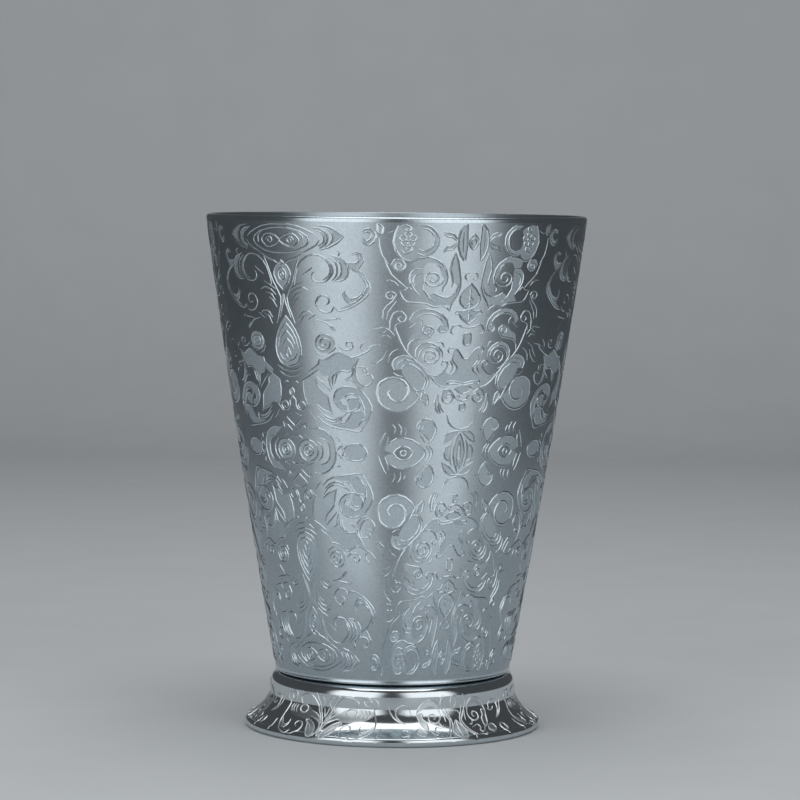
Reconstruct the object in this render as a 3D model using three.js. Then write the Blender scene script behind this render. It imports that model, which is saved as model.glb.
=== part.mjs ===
// A tapered steel cocktail cup on a flared foot, in millimetres, +Z up.
// Three turned pieces share one axis: a drawn cup body, a spun hollow foot, and the flat ring of braze
// that joins the body's underside to the foot's top flange. The origin is where that axis meets the table.
import * as THREE from 'three';

// Cup body, drawn from one sheet
const RIM_DIAMETER = 84; // outside, where the lip begins to round over
const BASE_DIAMETER = 51.7; // outside, where the line of the wall would meet the underside
const BODY_HEIGHT = 100.8; // underside to lip
const BODY_SHEET = 1; // wall and floor thickness
const WALL_BELLY = 0.55; // how far the wall bows outwards at half height
const FLOOR_CORNER_RADIUS = 1.1; // inside, between floor and wall

// Foot, spun from one sheet with its outer edge folded under into a hem
const FOOT_DIAMETER = 65.4; // outside, at the hem
const FOOT_HEIGHT = 12.3; // to the top of the flange
const FOOT_SHEET = 1;
const COLLAR_DIAMETER = 54.1; // the upright band under the shoulder
const COLLAR_FOOT_HEIGHT = 7.35; // where the collar ends in a crease and the flare begins
const SHOULDER_INNER_RADIUS = 1.35; // bend between flange and collar, on the hollow side
const FLARE_RADIUS = 9.7; // hollow curve from the collar to the hem
const HEM_HEIGHT = 2.15;
const HEM_WIDTH = 2.6;
const HEM_TOP_RADIUS = 0.9;
const HEM_FOOT_RADIUS = 0.35;
const FLANGE_HOLE_DIAMETER = 30;

// Braze between the two
const BRAZE_THICKNESS = 0.2;
const BRAZE_SETBACK = 2.2; // how far the ring stays back from the edges of the flange's flat top

// How finely round things are cut
const TURN_SEGMENTS = 64;
const WALL_STEPS = 5;
const BEND_STEPS = 4;
const FLARE_STEPS = 6;
const ROUNDING_STEPS = 2;

const QUARTER_TURN = Math.PI / 2;
const bodyUnderside = FOOT_HEIGHT + BRAZE_THICKNESS;
const lipRadius = BODY_SHEET / 2;
const wallHeight = BODY_HEIGHT - lipRadius;

// Places on the profile plane: x is the distance from the axis, y the height.
const place = (radius, height) => new THREE.Vector2(radius, height);

// Points along a circular arc of the profile plane, both ends included.
function bend(centre, radius, fromAngle, toAngle, steps) {
  const clockwise = toAngle < fromAngle;
  return new THREE.ArcCurve(centre.x, centre.y, radius, fromAngle, toAngle, clockwise).getPoints(steps);
}

// The body's outer wall at a height: a straight taper with a slight outward bow.
function wallRadius(height) {
  const share = (height - bodyUnderside) / wallHeight;
  const taper = BASE_DIAMETER / 2 + ((RIM_DIAMETER - BASE_DIAMETER) / 2) * share;
  return taper + 4 * WALL_BELLY * share * (1 - share);
}

// The direction that the outer wall faces at a height.
function wallNormal(height) {
  const share = (height - bodyUnderside) / wallHeight;
  const rise = ((RIM_DIAMETER - BASE_DIAMETER) / 2 + 4 * WALL_BELLY * (1 - 2 * share)) / wallHeight;
  return place(1, -rise).normalize();
}

// A point on the wall, set in from its outer face by a depth.
function wallPoint(height, depth) {
  return place(wallRadius(height), height).addScaledVector(wallNormal(height), -depth);
}

// The centre of the bend between floor and wall, which the inner and the outer surface share.
function floorBend() {
  const radius = FLOOR_CORNER_RADIUS + BODY_SHEET;
  const height = bodyUnderside + radius;
  const normal = wallNormal(height);
  const wallStart = height + radius * normal.y;
  return { radius, wallStart, angle: normal.angle() - 2 * Math.PI, centre: wallPoint(wallStart, radius) };
}

// Half the body's outline, from the centre of its underside round the lip to the centre of its floor.
function bodyProfile() {
  const corner = floorBend();
  const lipHeight = bodyUnderside + wallHeight;
  const lipNormal = wallNormal(lipHeight);
  const wallEnd = lipHeight + lipRadius * lipNormal.y;
  const lipAngle = lipNormal.angle() - 2 * Math.PI;
  const heights = [];
  for (let step = 1; step < WALL_STEPS; step++) {
    heights.push(THREE.MathUtils.lerp(corner.wallStart, wallEnd, step / WALL_STEPS));
  }
  return [
    place(0, bodyUnderside),
    ...bend(corner.centre, corner.radius, -QUARTER_TURN, corner.angle, BEND_STEPS),
    ...heights.map((height) => wallPoint(height, 0)),
    ...bend(wallPoint(wallEnd, lipRadius), lipRadius, lipAngle, lipAngle + Math.PI, BEND_STEPS),
    ...heights.reverse().map((height) => wallPoint(height, BODY_SHEET)),
    ...bend(corner.centre, FLOOR_CORNER_RADIUS, corner.angle, -QUARTER_TURN, BEND_STEPS),
    place(0, bodyUnderside + BODY_SHEET),
  ];
}

// The centre of the flare's hollow curve, which passes through the collar's crease and the top of the hem.
function flareCentre(crease, hemTop) {
  const chord = hemTop.clone().sub(crease);
  const towardsCentre = place(-chord.y, chord.x).normalize();
  const reach = Math.sqrt(FLARE_RADIUS ** 2 - chord.lengthSq() / 4);
  return crease.clone().add(hemTop).multiplyScalar(0.5).addScaledVector(towardsCentre, reach);
}

// The angle, seen from a centre, of the lower point of a circle at a distance from the axis.
function angleBelow(centre, radius, distance) {
  return 2 * Math.PI - Math.acos((distance - centre.x) / radius);
}

// The foot's section: out along its flat underside, over the hem and up to the flange, then back inside.
function footProfile() {
  const footRadius = FOOT_DIAMETER / 2;
  const collarRadius = COLLAR_DIAMETER / 2;
  const hemInside = footRadius - HEM_WIDTH;
  const hemTop = place(footRadius - HEM_TOP_RADIUS, HEM_HEIGHT);
  const crease = place(collarRadius, COLLAR_FOOT_HEIGHT);
  const flare = flareCentre(crease, hemTop);
  const flareInside = FLARE_RADIUS + FOOT_SHEET;
  const hemTopAngle = angleBelow(flare, FLARE_RADIUS, hemTop.x);
  const creaseAngle = angleBelow(flare, FLARE_RADIUS, crease.x);
  const creaseInsideAngle = angleBelow(flare, flareInside, collarRadius - FOOT_SHEET);
  const hemInsideAngle = angleBelow(flare, flareInside, hemInside);
  const shoulderRadius = SHOULDER_INNER_RADIUS + FOOT_SHEET;
  const shoulder = place(collarRadius - shoulderRadius, FOOT_HEIGHT - shoulderRadius);
  const hemFoot = place(footRadius - HEM_FOOT_RADIUS, HEM_FOOT_RADIUS);
  const hemRound = place(hemTop.x, HEM_HEIGHT - HEM_TOP_RADIUS);
  const flangeEdge = FLANGE_HOLE_DIAMETER / 2;
  const outline = [
    place(hemInside, 0),
    ...bend(hemFoot, HEM_FOOT_RADIUS, -QUARTER_TURN, 0, ROUNDING_STEPS),
    ...bend(hemRound, HEM_TOP_RADIUS, 0, QUARTER_TURN, BEND_STEPS).slice(0, -1),
    ...bend(flare, FLARE_RADIUS, hemTopAngle, creaseAngle, FLARE_STEPS),
    ...bend(shoulder, shoulderRadius, 0, QUARTER_TURN, BEND_STEPS),
    place(flangeEdge, FOOT_HEIGHT),
    place(flangeEdge, FOOT_HEIGHT - FOOT_SHEET),
    ...bend(shoulder, SHOULDER_INNER_RADIUS, QUARTER_TURN, 0, BEND_STEPS),
    ...bend(flare, flareInside, creaseInsideAngle, hemInsideAngle, FLARE_STEPS),
  ];
  return [...outline, outline[0].clone()];
}

// The braze lies on the flat of the flange, between its hole and the shoulder, under the cup's floor.
function brazeProfile() {
  const flatEnd = COLLAR_DIAMETER / 2 - SHOULDER_INNER_RADIUS - FOOT_SHEET;
  const inner = FLANGE_HOLE_DIAMETER / 2 + BRAZE_SETBACK;
  const outer = flatEnd - BRAZE_SETBACK;
  const outline = [
    place(inner, FOOT_HEIGHT),
    place(outer, FOOT_HEIGHT),
    place(outer, bodyUnderside),
    place(inner, bodyUnderside),
  ];
  return [...outline, outline[0].clone()];
}

// One turned piece: its profile spun about the cup's axis, stood up along +Z.
function turned(name, profile, material) {
  const mesh = new THREE.Mesh(new THREE.LatheGeometry(profile, TURN_SEGMENTS), material);
  mesh.name = name;
  mesh.rotation.x = QUARTER_TURN;
  return mesh;
}

const satinSteel = new THREE.MeshStandardMaterial({ color: 0xb4bfc5, roughness: 0.42, metalness: 1 });
const polishedSteel = new THREE.MeshStandardMaterial({ color: 0xcdd3d6, roughness: 0.06, metalness: 1 });
const silverBraze = new THREE.MeshStandardMaterial({ color: 0xaba89f, roughness: 0.5, metalness: 1 });

const cup = new THREE.Group();
cup.add(
  turned('cup_body', bodyProfile(), satinSteel),
  turned('foot', footProfile(), polishedSteel),
  turned('braze_ring', brazeProfile(), silverBraze),
);

export default cup;
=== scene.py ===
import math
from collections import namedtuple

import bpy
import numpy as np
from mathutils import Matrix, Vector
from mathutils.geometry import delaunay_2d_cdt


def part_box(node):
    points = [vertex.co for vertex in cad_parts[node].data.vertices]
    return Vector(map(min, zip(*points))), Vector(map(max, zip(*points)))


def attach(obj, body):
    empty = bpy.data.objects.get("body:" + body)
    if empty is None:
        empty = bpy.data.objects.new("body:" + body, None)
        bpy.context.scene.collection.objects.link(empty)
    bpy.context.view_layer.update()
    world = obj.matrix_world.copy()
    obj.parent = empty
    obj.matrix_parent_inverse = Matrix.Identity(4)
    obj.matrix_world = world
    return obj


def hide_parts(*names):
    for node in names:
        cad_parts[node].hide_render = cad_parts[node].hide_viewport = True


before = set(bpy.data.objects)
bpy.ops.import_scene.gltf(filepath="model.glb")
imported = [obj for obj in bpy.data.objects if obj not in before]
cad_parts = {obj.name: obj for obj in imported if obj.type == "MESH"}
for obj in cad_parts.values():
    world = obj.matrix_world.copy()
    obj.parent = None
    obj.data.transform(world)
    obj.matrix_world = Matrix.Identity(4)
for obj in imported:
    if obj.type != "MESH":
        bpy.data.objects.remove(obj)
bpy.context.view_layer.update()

# %% [markdown]
# ## A footed steel cup, dressed for its picture
# The frame holds three turned solids: the drawn cup body, the spun foot under it and the ring of braze
# that joins them. Their sizes are settled, so this lesson only gives them their looks: the scrollwork that
# stands up from the satin wall, the mirror polish and scrolls of the foot, and a plain studio round them.
# Everything is in metres in the frame's own axes. The drawing of the scrollwork is in millimetres, because
# that is how an engraver would measure it, and MM turns one into the other.

MM = 0.001
body_low, body_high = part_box("cup_body")
foot_low, foot_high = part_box("foot")
print("cup body", [round(v / MM, 2) for v in body_low], [round(v / MM, 2) for v in body_high])
print("foot", [round(v / MM, 2) for v in foot_low], [round(v / MM, 2) for v in foot_high])

# %% [markdown]
# ## The camera
# The picture was taken with a long lens from a little above the rim, about three quarters of a metre away.
# A long lens keeps the two sides of the cup nearly parallel. The camera could be aimed with a constraint,
# but its distance, height, pitch and field of view are known from the outlines of rim, wall and foot, so
# they are set as they are. The small roll is the lean of the real camera, and the small turn puts the cup
# a touch left of the middle of the frame.

# %% The camera at the picture's viewing angle
CAMERA_DISTANCE = 0.7443
CAMERA_HEIGHT = 0.12267
CAMERA_PITCH = math.radians(3.872)
CAMERA_TURN = math.radians(0.085)
CAMERA_ROLL = math.radians(0.55)
FIELD_OF_VIEW = math.radians(13.547)

bpy.ops.object.select_all(action="DESELECT")
bpy.ops.object.camera_add(location=(0, -CAMERA_DISTANCE, CAMERA_HEIGHT))
camera = bpy.context.object
camera.name = "long_lens"
camera.data.sensor_fit = "HORIZONTAL"
camera.data.angle = FIELD_OF_VIEW
aim = Matrix.Rotation(-CAMERA_TURN, 3, "Z") @ Matrix.Rotation(math.pi / 2 - CAMERA_PITCH, 3, "X")
camera.rotation_euler = (aim @ Matrix.Rotation(CAMERA_ROLL, 3, "Z")).to_euler()
bpy.context.scene.camera = camera
bpy.context.scene.view_settings.view_transform = "Standard"
print("camera", round(CAMERA_DISTANCE / MM), "mm away, lens", round(camera.data.lens, 1), "mm")

# %% [markdown]
# ## The floor
# Polished metal has hardly any colour of its own: it shows the room. A photographer therefore sets a metal
# cup on a narrow sheet of pale paper that sweeps up behind it, in a dim room. A flat plane would be simpler,
# but its far edge would cut the picture in two. So the plane's back edge is extruded upwards, and the fold
# is bevelled into a wide curve.

# %% A sweep of pale paper
SHEET_HALF_WIDTH = 0.23
SHEET_FRONT = -0.1
SHEET_BACK = 1.0
SHEET_RISE = 0.34
SHEET_CURVE = 0.3
CURVE_FACES = 16

bpy.ops.object.select_all(action="DESELECT")
bpy.ops.mesh.primitive_plane_add(size=1)
floor = bpy.context.object
floor.name = "paper_sweep"
bpy.ops.object.mode_set(mode="EDIT")
bpy.ops.transform.resize(value=(2 * SHEET_HALF_WIDTH, SHEET_BACK - SHEET_FRONT, 1))
bpy.ops.transform.translate(value=(0, (SHEET_BACK + SHEET_FRONT) / 2, 0))
bpy.ops.mesh.select_all(action="DESELECT")
bpy.ops.object.mode_set(mode="OBJECT")
for edge in floor.data.edges:
    edge.select = all(floor.data.vertices[v].co.y > SHEET_BACK - MM for v in edge.vertices)
bpy.ops.object.mode_set(mode="EDIT")
bpy.ops.mesh.extrude_region_move(TRANSFORM_OT_translate={"value": (0, 0, SHEET_RISE)})
bpy.ops.object.mode_set(mode="OBJECT")
for edge in floor.data.edges:
    ends = [floor.data.vertices[v].co for v in edge.vertices]
    edge.select = all(end.y > SHEET_BACK - MM and end.z < MM for end in ends)
bpy.ops.object.mode_set(mode="EDIT")
bpy.ops.mesh.bevel(offset=SHEET_CURVE, segments=CURVE_FACES, affect="EDGES")
bpy.ops.object.mode_set(mode="OBJECT")
bpy.ops.object.shade_smooth()
print("paper sweep with", len(floor.data.polygons), "faces")

# %% The paper's colour
PAPER_PALE = (0.66, 0.69, 0.71, 1)
PAPER_SHADE = (0.64, 0.67, 0.69, 1)
PAPER_SPOTS = 40
PAPER_ROUGHNESS = 0.85
PATTERN_LOW = 0.3
PATTERN_HIGH = 0.7


def new_finish(name):
    """A material with nodes, and its shader, node list and links."""
    finish = bpy.data.materials.new(name)
    finish.use_nodes = True
    nodes = finish.node_tree.nodes
    return finish, nodes["Principled BSDF"], nodes, finish.node_tree.links


def grain(nodes, links, scale, detail=2.0):
    """A noise pattern fixed to the piece by its Object coordinates, with scale in spots per metre."""
    place = nodes.new("ShaderNodeTexCoord")
    noise = nodes.new("ShaderNodeTexNoise")
    noise.inputs["Scale"].default_value = scale
    noise.inputs["Detail"].default_value = detail
    links.new(place.outputs["Object"], noise.inputs["Vector"])
    return noise.outputs["Fac"]


def between(nodes, links, pattern, low, high):
    """Spread a pattern's middle range over the values from low to high."""
    spread = nodes.new("ShaderNodeMapRange")
    spread.inputs["From Min"].default_value = PATTERN_LOW
    spread.inputs["From Max"].default_value = PATTERN_HIGH
    spread.inputs["To Min"].default_value = low
    spread.inputs["To Max"].default_value = high
    links.new(pattern, spread.inputs["Value"])
    return spread.outputs["Result"]


def two_tone(nodes, links, pattern, first, second):
    """Mix two colours by a pattern."""
    ramp = nodes.new("ShaderNodeValToRGB")
    ramp.color_ramp.elements[0].position = PATTERN_LOW
    ramp.color_ramp.elements[0].color = first
    ramp.color_ramp.elements[1].position = PATTERN_HIGH
    ramp.color_ramp.elements[1].color = second
    links.new(pattern, ramp.inputs["Fac"])
    return ramp.outputs["Color"]


paper, shader, nodes, links = new_finish("pale_paper")
paper_spots = grain(nodes, links, PAPER_SPOTS)
links.new(two_tone(nodes, links, paper_spots, PAPER_PALE, PAPER_SHADE), shader.inputs["Base Color"])
shader.inputs["Roughness"].default_value = PAPER_ROUGHNESS
floor.data.materials.append(paper)
print("paper finish with", len(nodes), "nodes")

# %% [markdown]
# ## The light
# Two big soft boxes stand to the left and right of the camera. They become the two broad bright bands on the
# wall, the gap between them becomes the darker middle, and the dim room becomes the dark edges that make the
# cup look round. A plain area lamp ends in a hard line, and steel would show it, so these two are given
# nodes that let them fade towards their sides. A weaker lamp overhead brightens the lip, the foot and the
# floor.

# %% A soft box
BOX_BEARING = 35
BOX_DISTANCE = 0.85
BOX_HEIGHT = 0.2
BOX_SIZE = (1.0, 1.26)
BOX_POWER = 5.1
BOX_MIDDLE = 0.5
BOX_FADE = 0.26


def soft_box(name, bearing, distance, height, size, power):
    """A rectangular lamp at a bearing from the camera's side, aimed at the middle of the cup."""
    turn = math.radians(bearing)
    place = Vector((distance * math.sin(turn), -distance * math.cos(turn), height))
    bpy.ops.object.light_add(type="AREA", location=place)
    lamp = bpy.context.object
    lamp.name = name
    lamp.data.shape = "RECTANGLE"
    lamp.data.size, lamp.data.size_y = size
    lamp.data.energy = power
    level = Vector((0, 0, min(height, body_high.z)))
    lamp.rotation_euler = (place - level).to_track_quat("Z", "Y").to_euler()
    lamp.visible_camera = False
    return lamp


def fade_sides(lamp):
    """Let a lamp fade towards its left and right edge, as the front of a soft box does."""
    lamp.data.use_nodes = True
    nodes = lamp.data.node_tree.nodes
    links = lamp.data.node_tree.links
    place = nodes.new("ShaderNodeNewGeometry")
    across = nodes.new("ShaderNodeSeparateXYZ")
    offset = nodes.new("ShaderNodeMath")
    offset.operation = "SUBTRACT"
    offset.inputs[1].default_value = BOX_MIDDLE
    away = nodes.new("ShaderNodeMath")
    away.operation = "ABSOLUTE"
    fade = nodes.new("ShaderNodeMapRange")
    fade.interpolation_type = "SMOOTHSTEP"
    fade.inputs["From Min"].default_value = BOX_MIDDLE - BOX_FADE
    fade.inputs["From Max"].default_value = BOX_MIDDLE
    fade.inputs["To Min"].default_value = 1
    fade.inputs["To Max"].default_value = 0
    links.new(place.outputs["Parametric"], across.inputs["Vector"])
    links.new(across.outputs["X"], offset.inputs[0])
    links.new(offset.outputs["Value"], away.inputs[0])
    links.new(away.outputs["Value"], fade.inputs["Value"])
    links.new(fade.outputs["Result"], nodes["Emission"].inputs["Strength"])


print("the boxes fade over", BOX_FADE, "of their width on each side")

# %% Two soft boxes, a top light and a dim room
TOP_BEARING = 180
TOP_DISTANCE = 0.02
TOP_HEIGHT = 0.9
TOP_SIZE = (0.8, 0.8)
TOP_POWER = 4
ROOM_GREY = (0.07, 0.073, 0.076, 1)

fade_sides(soft_box("left_box", -BOX_BEARING, BOX_DISTANCE, BOX_HEIGHT, BOX_SIZE, BOX_POWER))
fade_sides(soft_box("right_box", BOX_BEARING, BOX_DISTANCE, BOX_HEIGHT, BOX_SIZE, BOX_POWER))
soft_box("top_box", TOP_BEARING, TOP_DISTANCE, TOP_HEIGHT, TOP_SIZE, TOP_POWER)
room = bpy.data.worlds.new("dim_room")
room.use_nodes = True
room.node_tree.nodes["Background"].inputs["Color"].default_value = ROOM_GREY
bpy.context.scene.world = room

# %% [markdown]
# ## The cup body's plain surfaces
# The body is drawn from one round sheet, so it is a solid of revolution: its outer wall leans outwards and
# bows very slightly, the lip is the sheet's edge, rounded more outside than inside, and within lie a plain
# wall, a bend and a floor. A lathe-like Screw modifier would do, but drawing half of the outline as a wire
# of extruded vertices and spinning it is how a turner thinks. Only the plain surfaces are spun here. The
# band of outer wall that carries the scrollwork is left open and is filled by the next steps. Below the
# band, the wall ends in a narrow upright edge, which was burnished bright when the foot was fitted.

# %% The outline of the body
SHEET = 1.0
WALL_BELLY = 0.55
FLOOR_BEND = 1.1
LIP = SHEET / 2
RIM_RADIUS = 42.0
BASE_RADIUS = 25.85
BAND_MIDDLE = 63.3
underside = body_low.z / MM
wall_height = body_high.z / MM - LIP - underside


def wall_radius(height):
    """The outer wall's distance from the axis at a height, in millimetres."""
    share = (height - underside) / wall_height
    return BASE_RADIUS + (RIM_RADIUS - BASE_RADIUS) * share + 4 * WALL_BELLY * share * (1 - share)


def wall_lean(height):
    """How far the wall leans out at a height, as an angle."""
    share = (height - underside) / wall_height
    rise = (RIM_RADIUS - BASE_RADIUS + 4 * WALL_BELLY * (1 - 2 * share)) / wall_height
    return np.arctan(rise)


def wall_point(height, depth=0.0):
    """A point of the wall's section, set in from the outer face by a depth."""
    lean = wall_lean(height)
    return (wall_radius(height) - depth * np.cos(lean), height + depth * np.sin(lean))


def arc(centre, radius, start, end, steps):
    """Points along an arc of the section, with angles in degrees from straight outwards."""
    turns = np.radians(np.linspace(start, end, steps + 1))
    return [(centre[0] + radius * math.cos(t), centre[1] + radius * math.sin(t)) for t in turns]


print("wall at mid height", round(wall_radius(BAND_MIDDLE), 2), "mm from the axis")

# %% Spinning an outline
TURN_STEPS = 180
WELD = 0.002 * MM


def clear_selection():
    """Leave edit mode and select nothing."""
    if bpy.context.mode != "OBJECT":
        bpy.ops.object.mode_set(mode="OBJECT")
    bpy.ops.object.select_all(action="DESELECT")


def spin_outline(name, outline, bearing=0.0):
    """Extrude a wire through the outline's points, in millimetres, and spin it round the cup's axis."""
    turn = math.radians(bearing)
    points = [Vector((r * math.sin(turn), -r * math.cos(turn), z)) * MM for r, z in outline]
    clear_selection()
    bpy.ops.mesh.primitive_plane_add(size=MM)
    piece = bpy.context.object
    piece.name = name
    bpy.ops.object.mode_set(mode="EDIT")
    bpy.ops.mesh.merge(type="CENTER")
    bpy.ops.transform.translate(value=points[0])
    for here, there in zip(points, points[1:]):
        bpy.ops.mesh.extrude_vertices_move(TRANSFORM_OT_translate={"value": there - here})
    bpy.ops.mesh.select_all(action="SELECT")
    bpy.ops.mesh.spin(steps=TURN_STEPS, angle=math.tau, center=(0, 0, 0), axis=(0, 0, 1))
    bpy.ops.mesh.select_all(action="SELECT")
    bpy.ops.mesh.remove_doubles(threshold=WELD)
    bpy.ops.object.mode_set(mode="OBJECT")
    return piece


print("an outline is spun in", TURN_STEPS, "steps")

# %% Where the lip, the band, the edge and the bend lie
LIP_OUTSIDE = 0.7
LIP_INSIDE = SHEET - LIP_OUTSIDE
BAND_REACH = 48.9
EDGE_TOP = 13.6
EDGE_BEND = 0.4
EDGE_FLARE = 0.03
band_top = BAND_MIDDLE + BAND_REACH
band_foot = BAND_MIDDLE - BAND_REACH
bend_outside = FLOOR_BEND + SHEET
bend_height = underside + bend_outside
bend_lean = math.degrees(wall_lean(bend_height))
bend_start = bend_height - bend_outside * math.sin(math.radians(bend_lean))
bend_centre = wall_point(bend_start, bend_outside)
lip_height = body_high.z / MM - LIP
lip_lean = math.degrees(wall_lean(lip_height))
lip_start = lip_height - LIP * math.sin(math.radians(lip_lean))
lip_crest = body_high.z / MM - LIP_INSIDE
lip_along = Vector((math.sin(math.radians(lip_lean)), math.cos(math.radians(lip_lean))))
inner_centre = Vector(wall_point(lip_crest - LIP_OUTSIDE * lip_along.x, LIP_OUTSIDE))
outer_centre = inner_centre - (LIP_OUTSIDE - LIP_INSIDE) * lip_along
edge_height = underside + EDGE_BEND
edge_radius = wall_radius(EDGE_TOP) + EDGE_FLARE
print("band from", round(band_foot, 2), "to", round(band_top, 2), "and edge below", EDGE_TOP, "mm")

# %% The plain surfaces
LINE_BEARING = -36.9
FLOOR_RING = 12.0
inside_heights = np.linspace(lip_start, bend_start, 12)[1:-1]
upper_outline = [wall_point(band_top)]
upper_outline += arc(outer_centre, LIP_OUTSIDE, -lip_lean, 90 - lip_lean, 8)
upper_outline += arc(inner_centre, LIP_INSIDE, 90 - lip_lean, 180 - lip_lean, 4)[1:]
upper_outline += [wall_point(height, SHEET) for height in inside_heights]
upper_outline += arc(bend_centre, FLOOR_BEND, -bend_lean, -90, 6)
upper_outline += [(FLOOR_RING, underside + SHEET), (0.0, underside + SHEET)]
lower_outline = [wall_point(band_foot), wall_point(EDGE_TOP)]
lower_outline += arc((edge_radius - EDGE_BEND, edge_height), EDGE_BEND, 0, -90, 8)
lower_outline += [(FLOOR_RING, underside), (0.0, underside)]
inside = spin_outline("lip_and_inside", upper_outline, LINE_BEARING)
below = spin_outline("floor_bend", lower_outline, LINE_BEARING)
print("plain surfaces", len(inside.data.polygons) + len(below.data.polygons), "faces")

# %% [markdown]
# ## How the scrollwork is drawn
# The wall is etched: the ground round every line was eaten away about a tenth of a millimetre, so the
# drawing stands up as thin sharp ridges. The pattern is mirrored about upright lines every 60 degrees and
# about mid height, so one field of 60 degrees by half the band's height is drawn, and its mirrored copies
# make the rest. A bump map would be quicker, but ridges that catch the light need to be real. The drawing
# is made of four kinds of line: a stem runs smoothly through a few points, a loop closes on itself, a ring
# is an ellipse, and a curl is a stem whose end winds in round a centre. Points are given as degrees from
# the first mirror line and millimetres above mid height. A page holds one drawing: its lines, its matte
# patches, the width of a degree and of a line, so that the foot can have a page of its own later.

# %% Lines of the drawing
Page = namedtuple("Page", "lines mattes degree line_width")
FIELD_DEGREES = 60
CURVE_STEPS = 10
RING_STEPS = 40
CURL_STEPS = 24
WALL_LINE = 0.4
wall_page = Page([], [], math.radians(1) * wall_radius(BAND_MIDDLE), WALL_LINE)
page = wall_page


def flat(point):
    """A drawing point in millimetres on the unrolled page."""
    return Vector((point[0] * page.degree, point[1]))


def smooth(points, closed=False):
    """A curve through the points that keeps close to them where they crowd together."""
    spots = [flat(point) for point in points]
    if closed:
        spots = [spots[-1]] + spots + spots[:2]
    else:
        spots = [2 * spots[0] - spots[1]] + spots + [2 * spots[-1] - spots[-2]]
    path = []
    for before, start, end, after in zip(spots, spots[1:], spots[2:], spots[3:]):
        pairs = ((before, start), (start, end), (end, after))
        first, middle, last = [math.sqrt((b - a).length) for a, b in pairs]
        leave = (start - before) / first - (end - before) / (first + middle) + (end - start) / middle
        arrive = (end - start) / middle - (after - start) / (middle + last) + (after - end) / last
        for step in range(CURVE_STEPS):
            t = step / CURVE_STEPS
            bend_out = leave * middle * (t**3 - 2 * t**2 + t) + arrive * middle * (t**3 - t**2)
            path.append(start * (2 * t**3 - 3 * t**2 + 1) + end * (3 * t**2 - 2 * t**3) + bend_out)
    return path if closed else path + [spots[-2]]


def stem(*points, wide=1.0):
    """A line that runs smoothly through the points, with its width as a share of the page's line width."""
    page.lines.append((smooth(points), wide * page.line_width, False))


def loop(*points, wide=1.0):
    """A smooth line through the points, closed on itself."""
    page.lines.append((smooth(points, closed=True), wide * page.line_width, True))


def ring(centre, across, up, wide=1.0):
    """An ellipse, with its half width in degrees and its half height in millimetres."""
    turns = [math.tau * step / RING_STEPS for step in range(RING_STEPS)]
    spots = [flat((centre[0] + across * math.cos(t), centre[1] + up * math.sin(t))) for t in turns]
    page.lines.append((spots, wide * page.line_width, True))


def curl(*points, centre, turns, end=0.25, wide=1.0):
    """A stem whose end winds in round a centre, down to a share of the radius at which it starts."""
    path = smooth(points) if len(points) > 1 else [flat(points[0])]
    arm = path[-1] - flat(centre)
    steps = max(CURL_STEPS // 3, int(abs(turns) * CURL_STEPS))
    for step in range(1, steps + 1):
        share = step / steps
        spoke = arm * (1 - (1 - end) * share)
        spoke.rotate(Matrix.Rotation(math.tau * turns * share, 2))
        path.append(flat(centre) + spoke)
    page.lines.append((path, wide * page.line_width, False))


print("the drawn field is", round(FIELD_DEGREES * page.degree, 2), "by", BAND_REACH, "mm")

# %% Matte patches
def matte(*points):
    """A patch of ground that the etching left matte, with a smooth outline through the points."""
    page.mattes.append(smooth(points, closed=True))


def leaf(*points):
    """A closed line whose inside is matte."""
    loop(*points)
    page.mattes.append(page.lines[-1][0])


def disc(centre, across, up):
    """An ellipse whose inside is matte."""
    ring(centre, across, up)
    page.mattes.append(page.lines[-1][0])


def band(first, second):
    """Two lines, each a list of points, with the strip between them left matte."""
    stem(*first)
    stem(*second)
    page.mattes.append(page.lines[-2][0] + page.lines[-1][0][::-1])


print("an empty page:", len(page.lines), "lines,", len(page.mattes), "matte patches")

# %% [markdown]
# ## Drawing the field
# The motifs follow each other as they do on the cup: along the first mirror line a cartouche, a pair of
# stems and an almond of nested leaves, then the C-scrolls, the acanthus with its broad spiral, the
# brackets and volutes in the middle of the field, and along the second line a fleur, a bud and a tulip.
# Each motif is a short cell, so that one can be changed and looked at without the others. A leaf and a band
# bring their own matte inside, and where a patch lies between other lines, its edges hide under them.

# %% The cartouche at the top of the first line
ring((0, 44.9), 10.4, 2.7)
loop((0, 44.9), (2.4, 46.1), (5.2, 46.2), (6.9, 44.9), (5.2, 43.6), (2.4, 43.7))
curl((5.2, 44.9), centre=(3.8, 44.9), turns=1.2)
stem((6.9, 46.6), (8.3, 45.7), (8.4, 44.3))
stem((0, 48.3), (4.5, 48.2), (9, 47.3), (12.2, 46.2), (13.2, 45.6))
stem((8, 42.2), (10.4, 43), (12.6, 43.8), (13.8, 44.9))
band([(11.4, 47.6), (14.2, 47.4), (16.1, 46.5), (16.6, 45.3), (15.8, 44.1), (13.8, 43.2)],
     [(12.6, 47.2), (14.6, 46.6), (15.5, 45.5), (15, 44.4), (13.4, 43.8)])
stem((13.2, 48.1), (17.4, 47.7), (19.8, 46.7), (21.4, 45.7), wide=1.3)
stem((21.4, 45.7), (19.8, 44.7), (17.4, 43.7), (14, 42.9), wide=1.3)
stem((16.5, 47.4), (18, 46.4), (18.2, 45.3), (17.3, 44.2), (15.6, 43.4))
matte((16.8, 47.5), (19.8, 46.7), (21.3, 45.7), (19.8, 44.7), (17.2, 43.8), (18.2, 45.3), (18, 46.4))
print(len(page.lines), "lines so far")

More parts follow.
